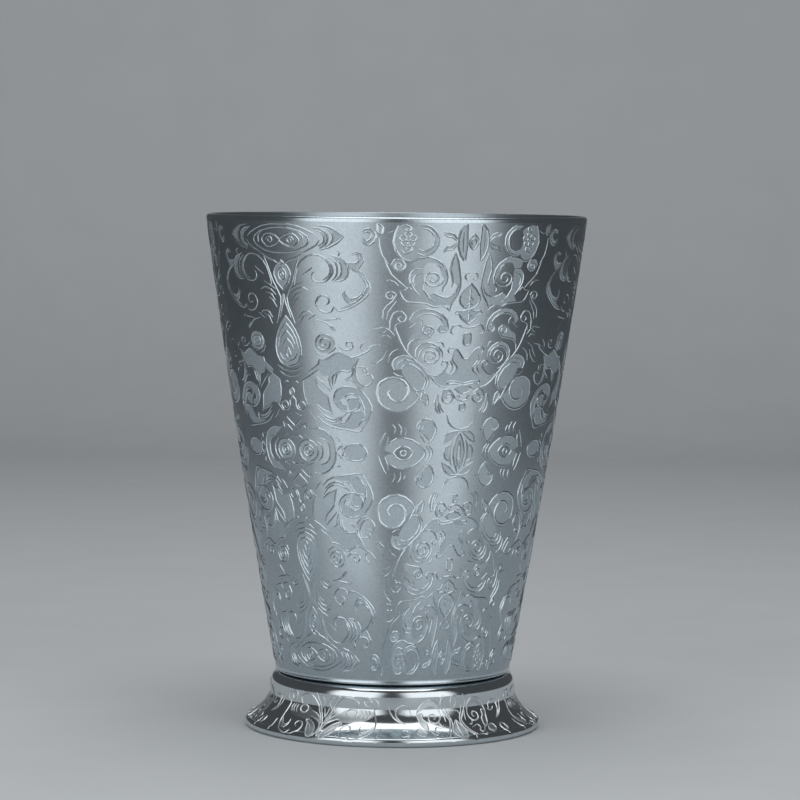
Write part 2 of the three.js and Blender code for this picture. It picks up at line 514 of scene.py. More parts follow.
# %% The C-scroll with its feather fan
curl((4.4, 35.4), (5.3, 38.2), (7.2, 40.4), (10, 41.7), (13, 41.9), (15.6, 41.1), (17.4, 39.7),
     (17.7, 38.3), (16.8, 37.2), (15.2, 36.3), (13.1, 36.1), centre=(12.6, 37.5), turns=-0.42, end=0.7)
stem((14.6, 41.2), (16.5, 40), (17, 38.6), (16.2, 37.4), (14.4, 36.6))
stem((16.6, 41.4), (18.6, 40.3), (19.2, 39), (18.8, 37.6), (17.4, 36.5))
stem((18, 41.4), (20, 40.3), (20.6, 38.9), (20, 37.5), (18.2, 36.4))
stem((16.8, 41.9), (20.3, 41.2), (22.3, 39.6), (22.6, 38.2), (21.5, 37), (19.6, 36.4), (17.4, 36.3))
stem((19.2, 42.8), (20, 42.4), (19.4, 41.6))
stem((7.6, 37.6), (9.4, 38.3), (11, 39.2))
matte((18, 41.6), (20.3, 41.2), (22.3, 39.6), (22.6, 38.2), (21.5, 37), (19.6, 36.4), (18.4, 36.5),
      (20, 37.5), (20.6, 38.9), (20, 40.3))
matte((14.2, 41.5), (15.6, 41.1), (17.4, 39.7), (17.7, 38.3), (16.8, 37.2), (15.2, 36.4), (16.2, 37.4),
      (17, 38.6), (16.5, 40))
print(len(page.lines), "lines so far")

# %% The long S-scroll
band([(23.6, 42.2), (24.9, 42.6), (26.6, 42.1), (27.2, 41.1), (26.5, 40), (25.2, 38.7)],
     [(23.6, 42), (24.9, 42.2), (25.8, 41.7), (25.7, 40.8), (24.8, 40.3), (22.2, 40.3)])
stem((25.2, 38.8), (27.5, 37.4), (29, 35.7), (29, 34.3), (27.4, 32.9), (24.6, 31.5), (21.8, 30.5),
     (18.9, 30.2), (17.6, 31))
stem((21.4, 40.4), (23.5, 39), (26.2, 37.9), (27.5, 36.6), (28.1, 35.4), (26.7, 33.4), (24.6, 32.1),
     (22.5, 31.8), (21.2, 32.6), (20.7, 33.7), (21.4, 34.4))
matte((21.6, 40.3), (23.4, 39.1), (26.2, 37.9), (27.5, 36.6), (28.1, 35.4), (26.7, 33.4), (24.6, 32.1),
      (22.4, 31.6), (19.4, 30.3), (21.8, 30.5), (24.6, 31.5), (27.4, 32.9), (29, 34.3), (29, 35.7),
      (27.5, 37.4), (25.2, 38.8), (23.6, 40))
matte((21.4, 34.3), (20.8, 33.6), (21.2, 32.6), (22.5, 31.9), (24.6, 32.1), (26, 33), (24.7, 33),
      (22.6, 32.8), (21.5, 33.5))
stem((27.8, 35.5), (26.4, 33.8), (24.7, 33), (22.6, 32.8), (21.4, 33.5), (21.2, 34.2))
curl((17.6, 31), (16.7, 30), (14.8, 29.7), (12.6, 30.3), (11.6, 31.7), (12.5, 32.9),
     centre=(14.5, 32.1), turns=-0.75, end=0.4)
print(len(page.lines), "lines so far")

# %% The stems beside the first line
ring((0, 37.6), 1.5, 1.3)
ring((0, 37.6), 0.5, 0.4)
stem((7.6, 42), (5, 41), (2.6, 40.5), (1.2, 39.8), (0, 39.6))
stem((0, 40.6), (2.4, 39.2), (3.2, 37.6), (2.3, 36), (0.8, 34.8), (0, 34.3))
stem((6.6, 41.3), (5.2, 38.9), (3.8, 36.2), (2.2, 34.2), (1.2, 32.8), (1.4, 31.2), (2.4, 29.4),
     (3.6, 27.2))
stem((0.2, 33.4), (0.4, 31.8), (1.2, 30.2), (2.2, 28.4))
stem((2.9, 34.4), (5, 35.3), (7.6, 36.1))
stem((3, 33.2), (5, 34.4), (7.4, 34.9), (9.4, 34.3))
stem((3, 30.6), (4.4, 32), (6, 32.7))
stem((3.4, 32), (5, 33.4), (7.2, 33.8))
stem((5.3, 28.4), (6.8, 29.6), (8.8, 29.9), (10.2, 29.3))
stem((5.6, 27), (6.8, 28.6), (8.8, 29.2))
stem((8.8, 28.2), (10, 28.6), (11.3, 29.2))
matte((0, 40.4), (2.4, 39.2), (3.2, 37.6), (2.3, 36), (0.8, 34.8), (0, 34.4))
print(len(page.lines), "lines so far")

# %% The almond of nested leaves
stem((0, 28.8), (2, 27.3), (3.9, 25.2), (5, 23), (5.2, 21.4), (4.5, 19.7), (2.9, 18.5), (0, 17.9))
stem((0, 27.2), (2, 25.8), (3.4, 24), (4.1, 22))
stem((0, 25.6), (1.7, 24.4), (2.9, 22.8))
stem((0, 23.9), (1.4, 23), (2.2, 21.8))
stem((3.6, 20.8), (2.4, 19.6), (0, 19))
loop((0, 21.9), (0.9, 20.6), (0, 19.9), (-0.9, 20.6))
stem((0, 17), (2.6, 17.3), (5.3, 18.2))
stem((0, 15.9), (2.4, 16.1), (4.4, 16.9))
matte((0, 28.6), (2, 27.3), (3.9, 25.2), (5, 23), (5.2, 21.4), (4.5, 19.7), (2.9, 18.5), (0, 18))
print(len(page.lines), "lines so far")

# %% The rosette and its twigs
curl((17.3, 23), centre=(13.7, 23.2), turns=2.1, end=0.12)
matte((17.3, 23), (16.2, 24.6), (13.8, 25.3), (11.3, 24.6), (10, 23.1), (11.2, 21.7), (13.7, 21.1),
      (16.2, 21.7))
stem((10, 22.2), (11, 21.2), (12.8, 20.6))
stem((14.8, 21), (16.6, 21.6), (17.7, 22.4))
curl((18.4, 22.7), (20, 22), (21.8, 21.9), (23.2, 22.4), centre=(22, 23), turns=0.95, end=0.3)
stem((11.2, 28.2), (13.6, 27.9), (15.8, 27.2), (17.9, 26))
stem((13.4, 28), (16, 28.3), (18, 28.4), (19, 28.7), (19.8, 28.3))
stem((14.6, 27.6), (16.2, 26.6), (17.4, 25.8))
print(len(page.lines), "lines so far")

# %% The acanthus leaf's upper lobe
stem((7.6, 17.1), (9.6, 17.9), (11.2, 18.7), (11.7, 19.6), (14.4, 19.9), (16.8, 20.9), (18.7, 21.4),
     (20.6, 20.9), (22.4, 20.3), (24.6, 20.6), (26.8, 21.3), (28, 21.7), (29.6, 22.7))
stem((4.9, 15.1), (8, 16.2), (11, 17.5))
stem((13.6, 16.3), (14.6, 15.8), (15, 14.4), (15.6, 13.4))
stem((15.9, 14.2), (16.2, 16.1), (18.1, 17.1), (19.6, 17.5), (21.5, 17.3), (23, 17.9), (24.2, 19.1),
     (25.3, 20.2))
stem((16.6, 14.6), (17.2, 16), (18, 17))
stem((24.9, 19.8), (23.4, 17.9), (22.6, 16.5), (20.3, 15.4), (21.6, 15.6), (22.6, 15.4))
matte((7.6, 17.1), (9.6, 17.9), (11.2, 18.7), (11.7, 19.6), (14.4, 19.9), (16.8, 20.9), (18.7, 21.4),
      (20.6, 20.9), (22.4, 20.3), (24.9, 20.3), (24.2, 19.1), (23, 17.9), (21.5, 17.3), (19.6, 17.5),
      (18.1, 17.1), (16.2, 16.1), (15.4, 14.6), (14.6, 15.8), (12, 16.4), (11, 17.5), (8, 16.3))
print(len(page.lines), "lines so far")

# %% The acanthus leaf's side lobe and tongues
stem((4.9, 15.1), (4.7, 13.7), (5, 11.8), (6.1, 9.9))
stem((10, 15.4), (10.4, 14.1), (12.2, 12.9), (14.1, 11.6), (14.3, 10.1), (15.4, 8))
stem((10.2, 16), (12, 15), (13.6, 14), (15, 13))
stem((9.7, 10.1), (12, 9), (14, 8.5), (15.6, 8.1))
stem((10, 9.3), (12, 7.9), (14.6, 7.1), (17, 7.2), (19.4, 7.9), (20.8, 8.5))
stem((10.6, 8.1), (13, 6.9), (15.6, 6.4), (17.6, 6.8), (18.6, 7.5))
stem((9.8, 7.5), (11.5, 6.4), (13.6, 5.7), (16, 5.2), (20, 4.9), (24, 4.5), (25.4, 4.8), (26.6, 5.9))
stem((6.6, 8.5), (7.8, 7.4), (9.2, 6.7))
stem((18.2, 6.3), (18.7, 7.5), (20.6, 8.4))
stem((18.2, 6.3), (20, 6.5), (21.2, 7.4), (22.4, 8.7))
stem((23, 5.2), (24.6, 5.8), (26, 7), (27.6, 6.8))
matte((10, 15.4), (10.4, 14.1), (12.2, 12.9), (14.1, 11.6), (14.3, 10.1), (15.4, 8.1), (12, 9),
      (9.7, 10.1), (6.3, 10), (5, 11.8), (4.7, 13.7), (5, 15), (8, 16.1))
matte((10.2, 9.2), (12, 7.9), (14.6, 7.1), (17, 7.2), (18.4, 7.4), (17.6, 6.8), (15.6, 6.4), (13, 6.9))
matte((18.2, 6.3), (20, 6.5), (21.2, 7.4), (22.4, 8.7), (24.4, 9), (25.9, 8.9), (26.6, 8.2), (26.2, 7),
      (24.6, 5.8), (23, 5.2), (20, 5), (16, 5.3), (14.6, 5.8))
print(len(page.lines), "lines so far")

# %% The acanthus leaf's broad spiral
stem((26.6, 5.9), (28.4, 7.8), (29.1, 9.9), (28, 11.4), (25.8, 13.2), (23.2, 13.9), (20.2, 14.1),
     (17.4, 13.3), (16.1, 11.7), (16.4, 10.6), (17.9, 9.5), (20.7, 8.7), (23, 9), (24.6, 9.6),
     (25.4, 10.6), (24.3, 11.5), (22.4, 11.7), (21, 11.2), (21.1, 10.5))
stem((22.4, 8.7), (24.4, 9), (25.9, 8.9), (26.6, 8.2))
stem((26.7, 7.8), (26.5, 9.7), (25.7, 11.1), (24.3, 12.2), (22, 12.6), (20.3, 11.9), (20.4, 11.2))
stem((18, 11.2), (18.8, 10.4), (20.4, 10.2))
matte((27, 6.4), (28.4, 7.8), (29.1, 9.9), (28, 11.4), (25.8, 13.2), (23.2, 13.9), (20.2, 14.1),
      (17.4, 13.3), (16.1, 11.7), (16.4, 10.6), (17.9, 9.5), (20.4, 8.9), (20.4, 10.2), (18.8, 10.4),
      (18.4, 11.2), (20.3, 12), (22, 12.6), (24.3, 12.2), (25.7, 11.1), (26.5, 9.7), (26.7, 7.8))
matte((21.1, 10.3), (21, 11.2), (22.4, 11.7), (24.3, 11.5), (25.4, 10.6), (24.6, 9.6), (23, 9),
      (21.6, 9.2))
print(len(page.lines), "lines so far")

# %% The sprig between leaf and volutes
stem((24.3, 18.6), (24, 16.6), (25.1, 15), (27, 14.2), (28.6, 14.7), (29.6, 16), (28.4, 16.9),
     (26.8, 16.3))
stem((22.6, 15.4), (23.6, 14.6), (25, 13.9), (26.4, 13.7))
curl((24.3, 18.4), (25.6, 18.3), (27, 18.3), centre=(26.8, 17.7), turns=-0.8, end=0.4)
matte((24.2, 18), (24, 16.6), (25.1, 15), (27, 14.2), (25, 13.9), (23.4, 14.8), (22.6, 16.2),
      (23.6, 17.8))
stem((27.4, 23.8), (26.2, 23.1), (25.9, 22.2), (26.8, 21.6))
stem((28, 22.4), (29.6, 22.9), (32, 23.1))
stem((33.1, 22.6), (34.4, 22.9), (35.6, 23.4))
stem((30.1, 26.4), (31.6, 26.6), (33.2, 26.8), (35, 26.2), (36.6, 25.1), wide=0.8)
stem((31.4, 25.8), (33, 25.6), (34, 26.2), wide=0.8)
stem((32.4, 24.9), (34, 25.2), (35.4, 24.6), wide=0.8)
stem((30.6, 20.2), (32, 21.2), (33, 22.4), wide=0.8)
stem((29, 19.4), (31, 19.2), (33.4, 20.6), (34.2, 21.8), wide=0.8)
print(len(page.lines), "lines so far")

# %% The heart-shaped bracket and its flower, at the top
band([(27, 46.9), (27.7, 47.4), (29.3, 47.5), (30.7, 46.6), (31, 45.8), (30.2, 44.7), (28.9, 44.1),
      (27.3, 44.5), (26.8, 45.4)],
     [(27.3, 46.5), (28, 46.9), (29.2, 46.6), (29.6, 45.9), (29, 45.2), (28, 44.9), (27.2, 45.5)])
leaf((31.6, 48.6), (33, 47.8), (32.6, 46.4), (31.5, 46.9))
stem((31.8, 45.6), (31.9, 44), (32.8, 41.8), (34.5, 40.2), wide=0.8)
stem((33.2, 46.8), (34.6, 46.7), (36.2, 47.2), wide=0.8)
stem((37.4, 48.2), (36.4, 46.4), (36, 44.6), (37.2, 42.5), (39.2, 41.1), (41.5, 40.8), (44.1, 41.5),
     (46.7, 41.7), (49.4, 41), (51.5, 39.6), (52.4, 37.5), (51.9, 36), (51, 35.2), (51.2, 34.5),
     (52.4, 34.6))
band([(43.2, 48.3), (46.3, 48.2), (49, 46.4), (49.2, 44.3), (47.6, 42.6), (45, 42), (42.8, 42.5)],
     [(44.2, 47.7), (46, 47.5), (47.6, 46.5), (48.1, 45.2), (47.2, 43.6), (45, 42.9), (43.4, 43.3)])
PETALS = 5
for petal in range(PETALS):
    turn = math.tau * petal / PETALS + 0.3
    ring((40.3 + 1.5 * math.cos(turn), 45.3 + 0.95 * math.sin(turn)), 1, 0.6, wide=0.8)
ring((40.3, 45.3), 0.5, 0.3, wide=0.7)
curl((38.2, 48), (39.4, 48.4), (40.8, 48), centre=(40.2, 47.5), turns=-0.7, end=0.5)
curl((38.2, 43.2), (39.4, 42.4), (41, 42.8), centre=(40.4, 43.4), turns=0.7, end=0.5)
matte((37.4, 48.1), (39.4, 48.4), (41.6, 48), (43.2, 47.2), (42.4, 45.6), (43.2, 43.8), (43.4, 42.2),
      (41.5, 41), (39.2, 41.2), (37.2, 42.6), (36, 44.6), (36.4, 46.4))
print(len(page.lines), "lines so far")

# %% Leaves and hooks left of the volutes
stem((33.4, 41.2), (34.4, 39.4), (35.8, 37.6), (38, 36.4), (40, 35.2), wide=0.9)
stem((36, 44.4), (36.6, 43), (37.8, 41.8), (39.6, 40.2))
curl((35.3, 39.9), (36.6, 41.1), (38.2, 41), (39.6, 40), centre=(37.8, 39.7), turns=-1.2, end=0.2)
matte((35.6, 40), (36.6, 41.1), (38.2, 41), (39.6, 40), (39.4, 39), (38, 38.5), (36.6, 38.8))
stem((34, 36.6), (35, 36.8), (36.6, 36.3), (37.6, 35.6))
curl((32.8, 28.6), (33, 30.2), (34.2, 31.4), (36, 32.4), (37, 33.6), centre=(35.2, 33.4), turns=1.3,
     end=0.2, wide=0.9)
stem((34, 28.4), (34.4, 29.8), (35.8, 31.2), (37.2, 32.4), wide=0.8)
curl((35, 26.2), (35.2, 28.4), (36.6, 30), (38.6, 30.2), (40, 29.2), centre=(38.6, 28.7), turns=-0.9,
     end=0.3, wide=0.9)
stem((36.4, 26), (37, 27.4), (38.4, 27.8), wide=0.8)
print(len(page.lines), "lines so far")

# %% The broad upper volute
stem((49, 40.1), (50, 39.6), (50.1, 39))
curl((51.7, 37.1), (50.7, 36.1), (49.2, 35.6), centre=(48, 37.2), turns=-1.6, end=0.15)
stem((44.8, 39.2), (42.5, 39.1), (41.2, 38.2), (40.9, 36.8), (42, 35.1), (44.1, 33.6))
stem((44.6, 38.3), (42.8, 37.9), (42, 36.8), (42.4, 35.6))
stem((45.2, 36.4), (45.3, 34.8), (46.8, 33.3), (48.6, 32.2))
stem((38, 34.4), (38.7, 33.3), (40.1, 32.3), (43.1, 32.1), (46.2, 31.9), (48.7, 31.2), (51.1, 31.5))
stem((37.8, 34.6), (39.6, 34.7), (40.8, 35.3), (42, 34.6), wide=0.8)
stem((47.3, 33.6), (48.4, 34.1), (50.2, 33.5), (52.4, 33.2), (54.1, 33.6), (55.4, 34.5), (56, 35.9))
stem((46.8, 33.2), (48.2, 32.6))
matte((44.8, 39.2), (42.5, 39.1), (41.2, 38.2), (40.9, 36.8), (42, 35.1), (44.1, 33.6), (45.2, 34.6),
      (45.1, 36.4))
matte((45.4, 34.9), (46.8, 33.4), (48.4, 34.1), (50.2, 33.5), (52.4, 33.2), (54.1, 33.6), (55.4, 34.5),
      (55.6, 33.4), (53.9, 31.7), (51.1, 31.6), (48.7, 31.3), (46.2, 32), (43.1, 32.2), (44.2, 33.5))
matte((44.8, 39.2), (46, 40.4), (48.6, 40.4), (50.1, 39.2), (50.8, 37.6), (51.7, 37.1), (52.3, 37.7),
      (51.4, 39.6), (49.4, 41), (46.7, 41.6), (44.1, 41.4), (42, 40.6), (42.6, 39.4))
print(len(page.lines), "lines so far")

# %% The long leaf
stem((54.6, 42.6), (53.6, 40.8), (53.2, 39), (53.9, 37.4), (54.2, 36.4), (53.8, 35.4))
stem((54.6, 42.6), (55.5, 40.8), (56.2, 38.2), (56.7, 36.2), (56.3, 34.5), (55.2, 33.1), (53.9, 31.7),
     (53.6, 30.3))
stem((51.1, 31.5), (52.4, 31.1), (53.6, 30.3))
matte((54.6, 42.4), (53.6, 40.8), (53.2, 39), (53.9, 37.4), (54.6, 36.4), (55.6, 35.6), (55.4, 34.5),
      (55.4, 33.4), (56.3, 34.5), (56.7, 36.2), (56.2, 38.2), (55.5, 40.8))
print(len(page.lines), "lines so far")

# %% The fleur at the top of the second line
band([(50.8, 46.9), (52, 46.9), (53.7, 46.5), (54.9, 45.5)],
     [(50.8, 46.6), (51.9, 46), (53.2, 45.9), (54.6, 45.1)])
band([(50.8, 42.7), (52, 43.2), (53.7, 43.4), (54.9, 44.4)],
     [(50.8, 42.9), (51.9, 43.9), (53.2, 44.1), (54.6, 44.8)])
leaf((57.5, 48.6), (55.8, 47.4), (55.2, 45.2), (55.5, 43), (57.4, 40.9), (57.8, 42.6), (58, 44.6),
     (57.8, 46.6))
stem((56.8, 47), (56.6, 44.9), (56.8, 42.8), wide=0.8)
loop((60, 46.5), (58.4, 44.9), (60, 43.3), (61.6, 44.9))
ring((60, 44.9), 0.8, 0.6, wide=0.8)
matte((60, 46.4), (58.5, 44.9), (60, 43.4))
print(len(page.lines), "lines so far")

# %% The bud on the second line
stem((60, 36.2), (58, 34.8), (56.8, 33.5), (56.8, 32.2), (58.2, 31.1), (60, 30.7))
stem((55.4, 29.8), (56.2, 30.4), (57.8, 30.3), (60, 30.7))
stem((55.4, 29.8), (56.7, 29.6), (57.9, 28.5), (60, 27.6))
stem((60, 35), (60, 28.2))
stem((60, 33.4), (58.8, 32.6))
stem((60, 32), (58.9, 31.6))
stem((60, 29.6), (58.9, 29.2))
stem((59.5, 38.3), (58.4, 38.3), (58, 37.5), (58.7, 36.9), (59.5, 37.1))
curl((60, 26.8), (58.2, 26.9), (56.6, 27.4), (55.2, 27.2), (54.4, 26.3), centre=(55.4, 26), turns=0.35,
     end=0.8)
loop((59, 25.5), (59.1, 23.2), (60.9, 23.2), (61, 25.5))
matte((60, 25.6), (59, 25.6), (59, 23.2), (60, 23.1))
matte((60, 36.1), (58, 34.8), (56.8, 33.5), (56.8, 32.2), (58.2, 31.1), (60, 30.8))
matte((60, 30.5), (57.8, 30.3), (56.2, 30.3), (56.7, 29.6), (57.9, 28.5), (60, 27.7))
print(len(page.lines), "lines so far")

# %% The lower scroll pair
curl((41.1, 28.4), (42.4, 29.8), (44.4, 30.6), (46.6, 30.8), (49, 30.5), (51.2, 29.7), (52.8, 28.5),
     (53.4, 27), centre=(51.6, 26.8), turns=-0.85, end=0.5)
stem((43, 28.8), (45.2, 29.7), (48, 29.8), (50.4, 29), (51.6, 28))
curl((40.8, 21.9), (41, 23.2), (42.6, 24.2), (45, 24.5), (47.4, 24.8), (48.7, 26), centre=(46.8, 26.2),
     turns=1.5, end=0.2)
stem((41.1, 26.7), (42.4, 27.4), (44, 28))
stem((44.2, 28.9), (45, 28.3), (44.9, 27.5))
stem((36.6, 27.2), (38, 24.6), (39.4, 22.6), (41.5, 20.8), (44, 19.2), (46.4, 17.8), (48.2, 16.6),
     (50.2, 15.1), (52.2, 14.3), (54.1, 14.1))
matte((41.1, 28.4), (42.4, 29.8), (44.4, 30.6), (46.6, 30.8), (49, 30.5), (51.2, 29.7), (52.8, 28.5),
      (53.4, 27), (51.4, 25.6), (49.8, 26.4), (51.4, 28), (50.4, 29), (48, 29.8), (45.2, 29.7),
      (43, 28.8), (42.6, 27.6))
matte((40.8, 22), (41, 23.2), (42.6, 24.2), (45, 24.5), (47.4, 24.8), (48.7, 26), (47.6, 27.4),
      (45.6, 27.2), (44, 26), (41.6, 25.2))
print(len(page.lines), "lines so far")

# %% The lower volute and the hooks beside the second line
stem((43.3, 20.7), (43.5, 22.2), (45, 23.3), (47.5, 23.7), (50, 23.1), (51.8, 21.8), (52.1, 20.5))
curl((44.3, 20.6), (44.8, 21.8), (46.2, 22.6), centre=(48.1, 20.8), turns=-1.9, end=0.15)
stem((43.3, 20.7), (44.4, 19.4), (46, 18.4), (47.6, 18))
stem((49.6, 23.9), (51.6, 23.7), (52.5, 22.7))
curl((48, 16.9), (49.6, 16.6), (51.4, 16.8), (53, 17.6), (53.9, 18.8), centre=(52.6, 19.1), turns=0.85,
     end=0.35)
curl((60, 20.1), (59.2, 20.2), (57.9, 21.4), (56.6, 22.3), (55.2, 22.6), centre=(54.8, 21.9), turns=0.6,
     end=0.6)
stem((55.6, 21.2), (55.4, 19.9), (56.4, 19.1), (57.2, 18.3), (56.8, 17.4), (55.6, 16.8))
stem((54.6, 19.8), (55.6, 18.8), (55.5, 17.8), (54.8, 17.2))
matte((60, 20.1), (59.2, 20.2), (57.9, 21.4), (56.6, 22.3), (55.7, 21.8), (55.4, 19.9), (56.4, 19.1),
      (57.2, 18.3), (56.8, 17.4), (55.2, 16.8), (53, 17.5), (51.4, 16.8), (49.6, 16.6), (50.4, 15.3),
      (52.6, 14.4), (55, 14.7), (54.4, 15.5), (57, 15.4), (60, 15))
matte((43.4, 20.8), (43.5, 22.2), (45, 23.3), (47.5, 23.7), (50, 23.1), (51.8, 21.8), (50.6, 21.8),
      (48.6, 22.7), (46.2, 22.5), (44.8, 21.6), (44.4, 20.2))
print(len(page.lines), "lines so far")

# %% The moustache band on the second line
stem((60, 15), (57, 15.4), (55.2, 15.5), (54.3, 15.3), (54.6, 14.8), (57, 14.9), (60, 14.5))
stem((56.4, 13.7), (57.9, 14.3), (60, 14.5))
stem((56.6, 13.9), (58.1, 13.1), (60, 12.7))
curl((60, 11.2), (58.4, 11.4), (57, 12), (56, 13), (54.6, 13.7), (53, 13.4), (52.4, 12.4),
     centre=(54.8, 12), turns=1.25, end=0.2)
matte((54.6, 13.7), (53, 13.4), (52.4, 12.4), (52.8, 11.2), (53.6, 11.6), (53.8, 12.6), (55.2, 13),
      (56.4, 12.4), (57, 12), (56, 13))
ring((58.2, 12), 0.5, 0.35, wide=0.8)
leaf((51, 12.6), (50.2, 11.2), (50.3, 9.9), (51.2, 8.9), (52.2, 8.5), (51.6, 9.6), (51.2, 11))
stem((51.8, 10.8), (52.4, 9.6), (53.5, 8.8), wide=1.2)
loop((59.2, 10.5), (59.2, 9.2), (60.8, 9.2), (60.8, 10.5))
matte((60, 10.7), (59.2, 10.5), (59.2, 9.2), (60, 9))
matte((56.6, 13.8), (57.9, 14.3), (60, 14.4), (60, 12.8), (58.1, 13.1))
print(len(page.lines), "lines so far")

# %% The broad ring and its C-scroll
stem((45, 12), (42.3, 10), (38.6, 9), (34.9, 9.3), (31.9, 10.6), (30.9, 12.8), (31.9, 15), (35.5, 16.2),
     (39.2, 15.7), (41.1, 14.2), (41.1, 12.6), (39.5, 11.3), (37.4, 11), (35.3, 11.7), (34.6, 12.8),
     (35.4, 13.5), wide=1.4)
stem((42.8, 14.2), (44, 13), (44.8, 11.9), (46.3, 11), (47.8, 10.3))
leaf((45.6, 12.1), (46.2, 13), (47.3, 12.6), (47.9, 11.5), (47.7, 10.2), (46.8, 10.9))
band([(46.6, 13.5), (47.8, 14.8), (47.5, 16.7), (45.6, 18.6), (42.6, 20.2), (39.7, 20.9), (36.9, 20.2),
      (35.9, 19), (36.4, 17.8)],
     [(42.9, 14.1), (44, 13.4), (45.8, 13.6), (46.9, 15.1), (46.4, 16.5), (44.5, 18.1), (41.6, 19.1),
      (39.4, 18.7), (38.9, 18)])
stem((37.4, 18.4), (38, 19.4), (40, 20), (42.6, 19.6), wide=0.8)
stem((34.6, 19.4), (35, 20.8), (36.2, 21.8), (37.8, 22.3), wide=0.8)
stem((36.2, 17.2), (37.4, 16.7), (39.4, 16.4))
matte((44.8, 12), (42.3, 10), (38.6, 9), (34.9, 9.3), (31.9, 10.6), (30.9, 12.8), (31.9, 15),
      (35.5, 16.2), (39.2, 15.7), (41.1, 14.3), (42.9, 12.9))
matte((42.9, 14.1), (44, 13.4), (45.8, 13.6), (46.9, 15.1), (46.4, 16.5), (44.5, 18.1), (41.6, 19.1),
      (39.4, 18.7), (39, 17.4), (40.6, 15.6))
print(len(page.lines), "lines so far")

# %% Rings and sprays at mid height
ring((5, 0), 2.1, 1.25)
ring((5, 0), 0.9, 0.5)
ring((5, 0), 4, 2.3)
stem((8.8, 2.2), (10.4, 1.2), (10.8, 0))
stem((9.8, 2.9), (12.2, 2.4), (13.6, 1.1), (13.7, 0))
stem((6.6, 4.7), (10, 4.9), (13, 4.1), (15.2, 2.4), (16, 0))
stem((16, 3.2), (17.3, 3), (17.2, 2.2))
stem((16.5, 0.4), (17.8, 1.3), (19.3, 1.5))
stem((3.8, 5.4), (4.8, 4.8), (5.2, 6))
stem((0, 3), (1.6, 3.1), (2.8, 2.6))
stem((3.8, 3.4), (5, 3), (6.8, 2.6))
stem((1.2, 4.2), (3, 5.3), (5, 5.8))
stem((0, 5.2), (1.6, 6), (3.4, 7.1))
stem((0.8, 8), (2, 7.8), (3.2, 7.4))
ring((23, 0), 4.2, 1.9)
stem((19, 0), (18.2, 0.9), (18.6, 1.8))
curl((0, 11.7), (1.2, 10.9), (1.3, 9.6), (2.2, 8.8), (4.2, 8.75), (5.2, 9.6), centre=(3.3, 9.6),
     turns=0.9, end=0.3)
disc((0, 12.6), 1, 0.8)
stem((4.6, 8.4), (5.6, 9.2), (6.6, 9.8))
stem((1, 14.6), (2, 14.9), (3, 14.5))
matte((18.9, 0), (20, 1.3), (21.4, 1.8), (23, 1.9), (24.6, 1.8), (26, 1.3), (27.1, 0))
matte((9, 0), (8.4, 1.2), (7, 2), (5, 2.3), (3, 2), (1.6, 1.2), (1, 0))
matte((6.6, 4.7), (10, 4.9), (13, 4.1), (15.2, 2.4), (16, 0), (13.7, 0), (13.6, 1.1), (12.2, 2.4),
      (9.8, 2.9))
print(len(page.lines), "lines so far")

# %% The spread flower at mid height
stem((31.2, 0.6), (32, 2.2), (33, 3.6), (33.9, 4.4))
stem((33.4, 0.8), (34.4, 2.2), (34.6, 3.5))
stem((36.2, 6.2), (37.1, 5.3), (36.8, 4.2))
stem((38.2, 6.3), (39.3, 5.2), (39, 4))
stem((40.2, 5.6), (40.9, 4.8), (40.6, 3.9))
stem((35.4, 2.4), (37.6, 3.2), (40.2, 3.3), (43, 2.9), (45.6, 1.9), (47.3, 0.7), (47.6, 0))
stem((48.7, 1.8), (49.9, 0.9), (50.2, 0))
stem((47.8, 1.7), (48.8, 0.8), (49, 0))
stem((36.6, 0), (37.8, 1), (40, 1.5), (42.2, 1), (43.4, 0))
ring((40, 0), 1, 0.6)
stem((44.6, 5), (44.6, 6), (45.6, 6.9), (47.6, 7.4), (49.8, 6.9), (51, 5.7), (51.1, 4.7), (50.6, 3.6),
     (49.4, 2.5), (48.2, 2.1))
stem((51.1, 4.9), (52.4, 4.9))
stem((45.6, 6), (45.2, 5.1), (46, 4.6))
stem((46.8, 5.9), (46.5, 5), (47.4, 4.7))
stem((45.8, 3.8), (46.8, 3.1), (47.4, 2.4))
stem((46.8, 4.2), (48, 3.5), (48.8, 2.8))
matte((44.6, 5.2), (44.6, 6), (45.6, 6.9), (47.6, 7.4), (49.8, 6.9), (51, 5.7), (51.1, 4.7),
      (50.6, 3.6), (49.4, 2.5), (48.8, 2.7), (46.8, 4.2))
matte((35.4, 2.4), (37.6, 3.2), (40.2, 3.3), (43, 2.9), (45.6, 1.9), (47.3, 0.7), (47.6, 0), (43.4, 0),
      (42.2, 1), (40, 1.5), (37.8, 1), (36.6, 0), (33.4, 0.8))
print(len(page.lines), "lines so far")

# %% The tulip at mid height on the second line
stem((54.7, 8.2), (55.4, 6.6), (57.2, 5.5), (60, 5.1))
stem((60, 4.8), (58, 4.75), (56, 4.4), (54.6, 3.5), (53.8, 2))
stem((53.8, 2), (55.6, 2.6), (57.6, 3.4), (59.2, 4.5))
stem((57, 1.9), (55.2, 1.3), (54.4, 0))
stem((57.6, 2.8), (56.8, 1.4), (56.6, 0))
stem((60, 4.2), (58.8, 2.7), (58.1, 1.2), (57.9, 0))
stem((60, 2.8), (59.4, 1.4), (59.3, 0))
matte((59.6, 4.75), (58, 4.75), (56, 4.4), (54.6, 3.5), (53.8, 2), (55.6, 2.6), (57.6, 3.4))
matte((54.4, 0), (55.2, 1.3), (57, 1.9), (56.7, 1.2), (56.6, 0))
matte((57.9, 0), (58.1, 1.2), (58.8, 2.7), (60, 4.2), (60, 2.8), (59.4, 1.4), (59.3, 0))
print(len(page.lines), "lines and", len(page.mattes), "matte patches in all")

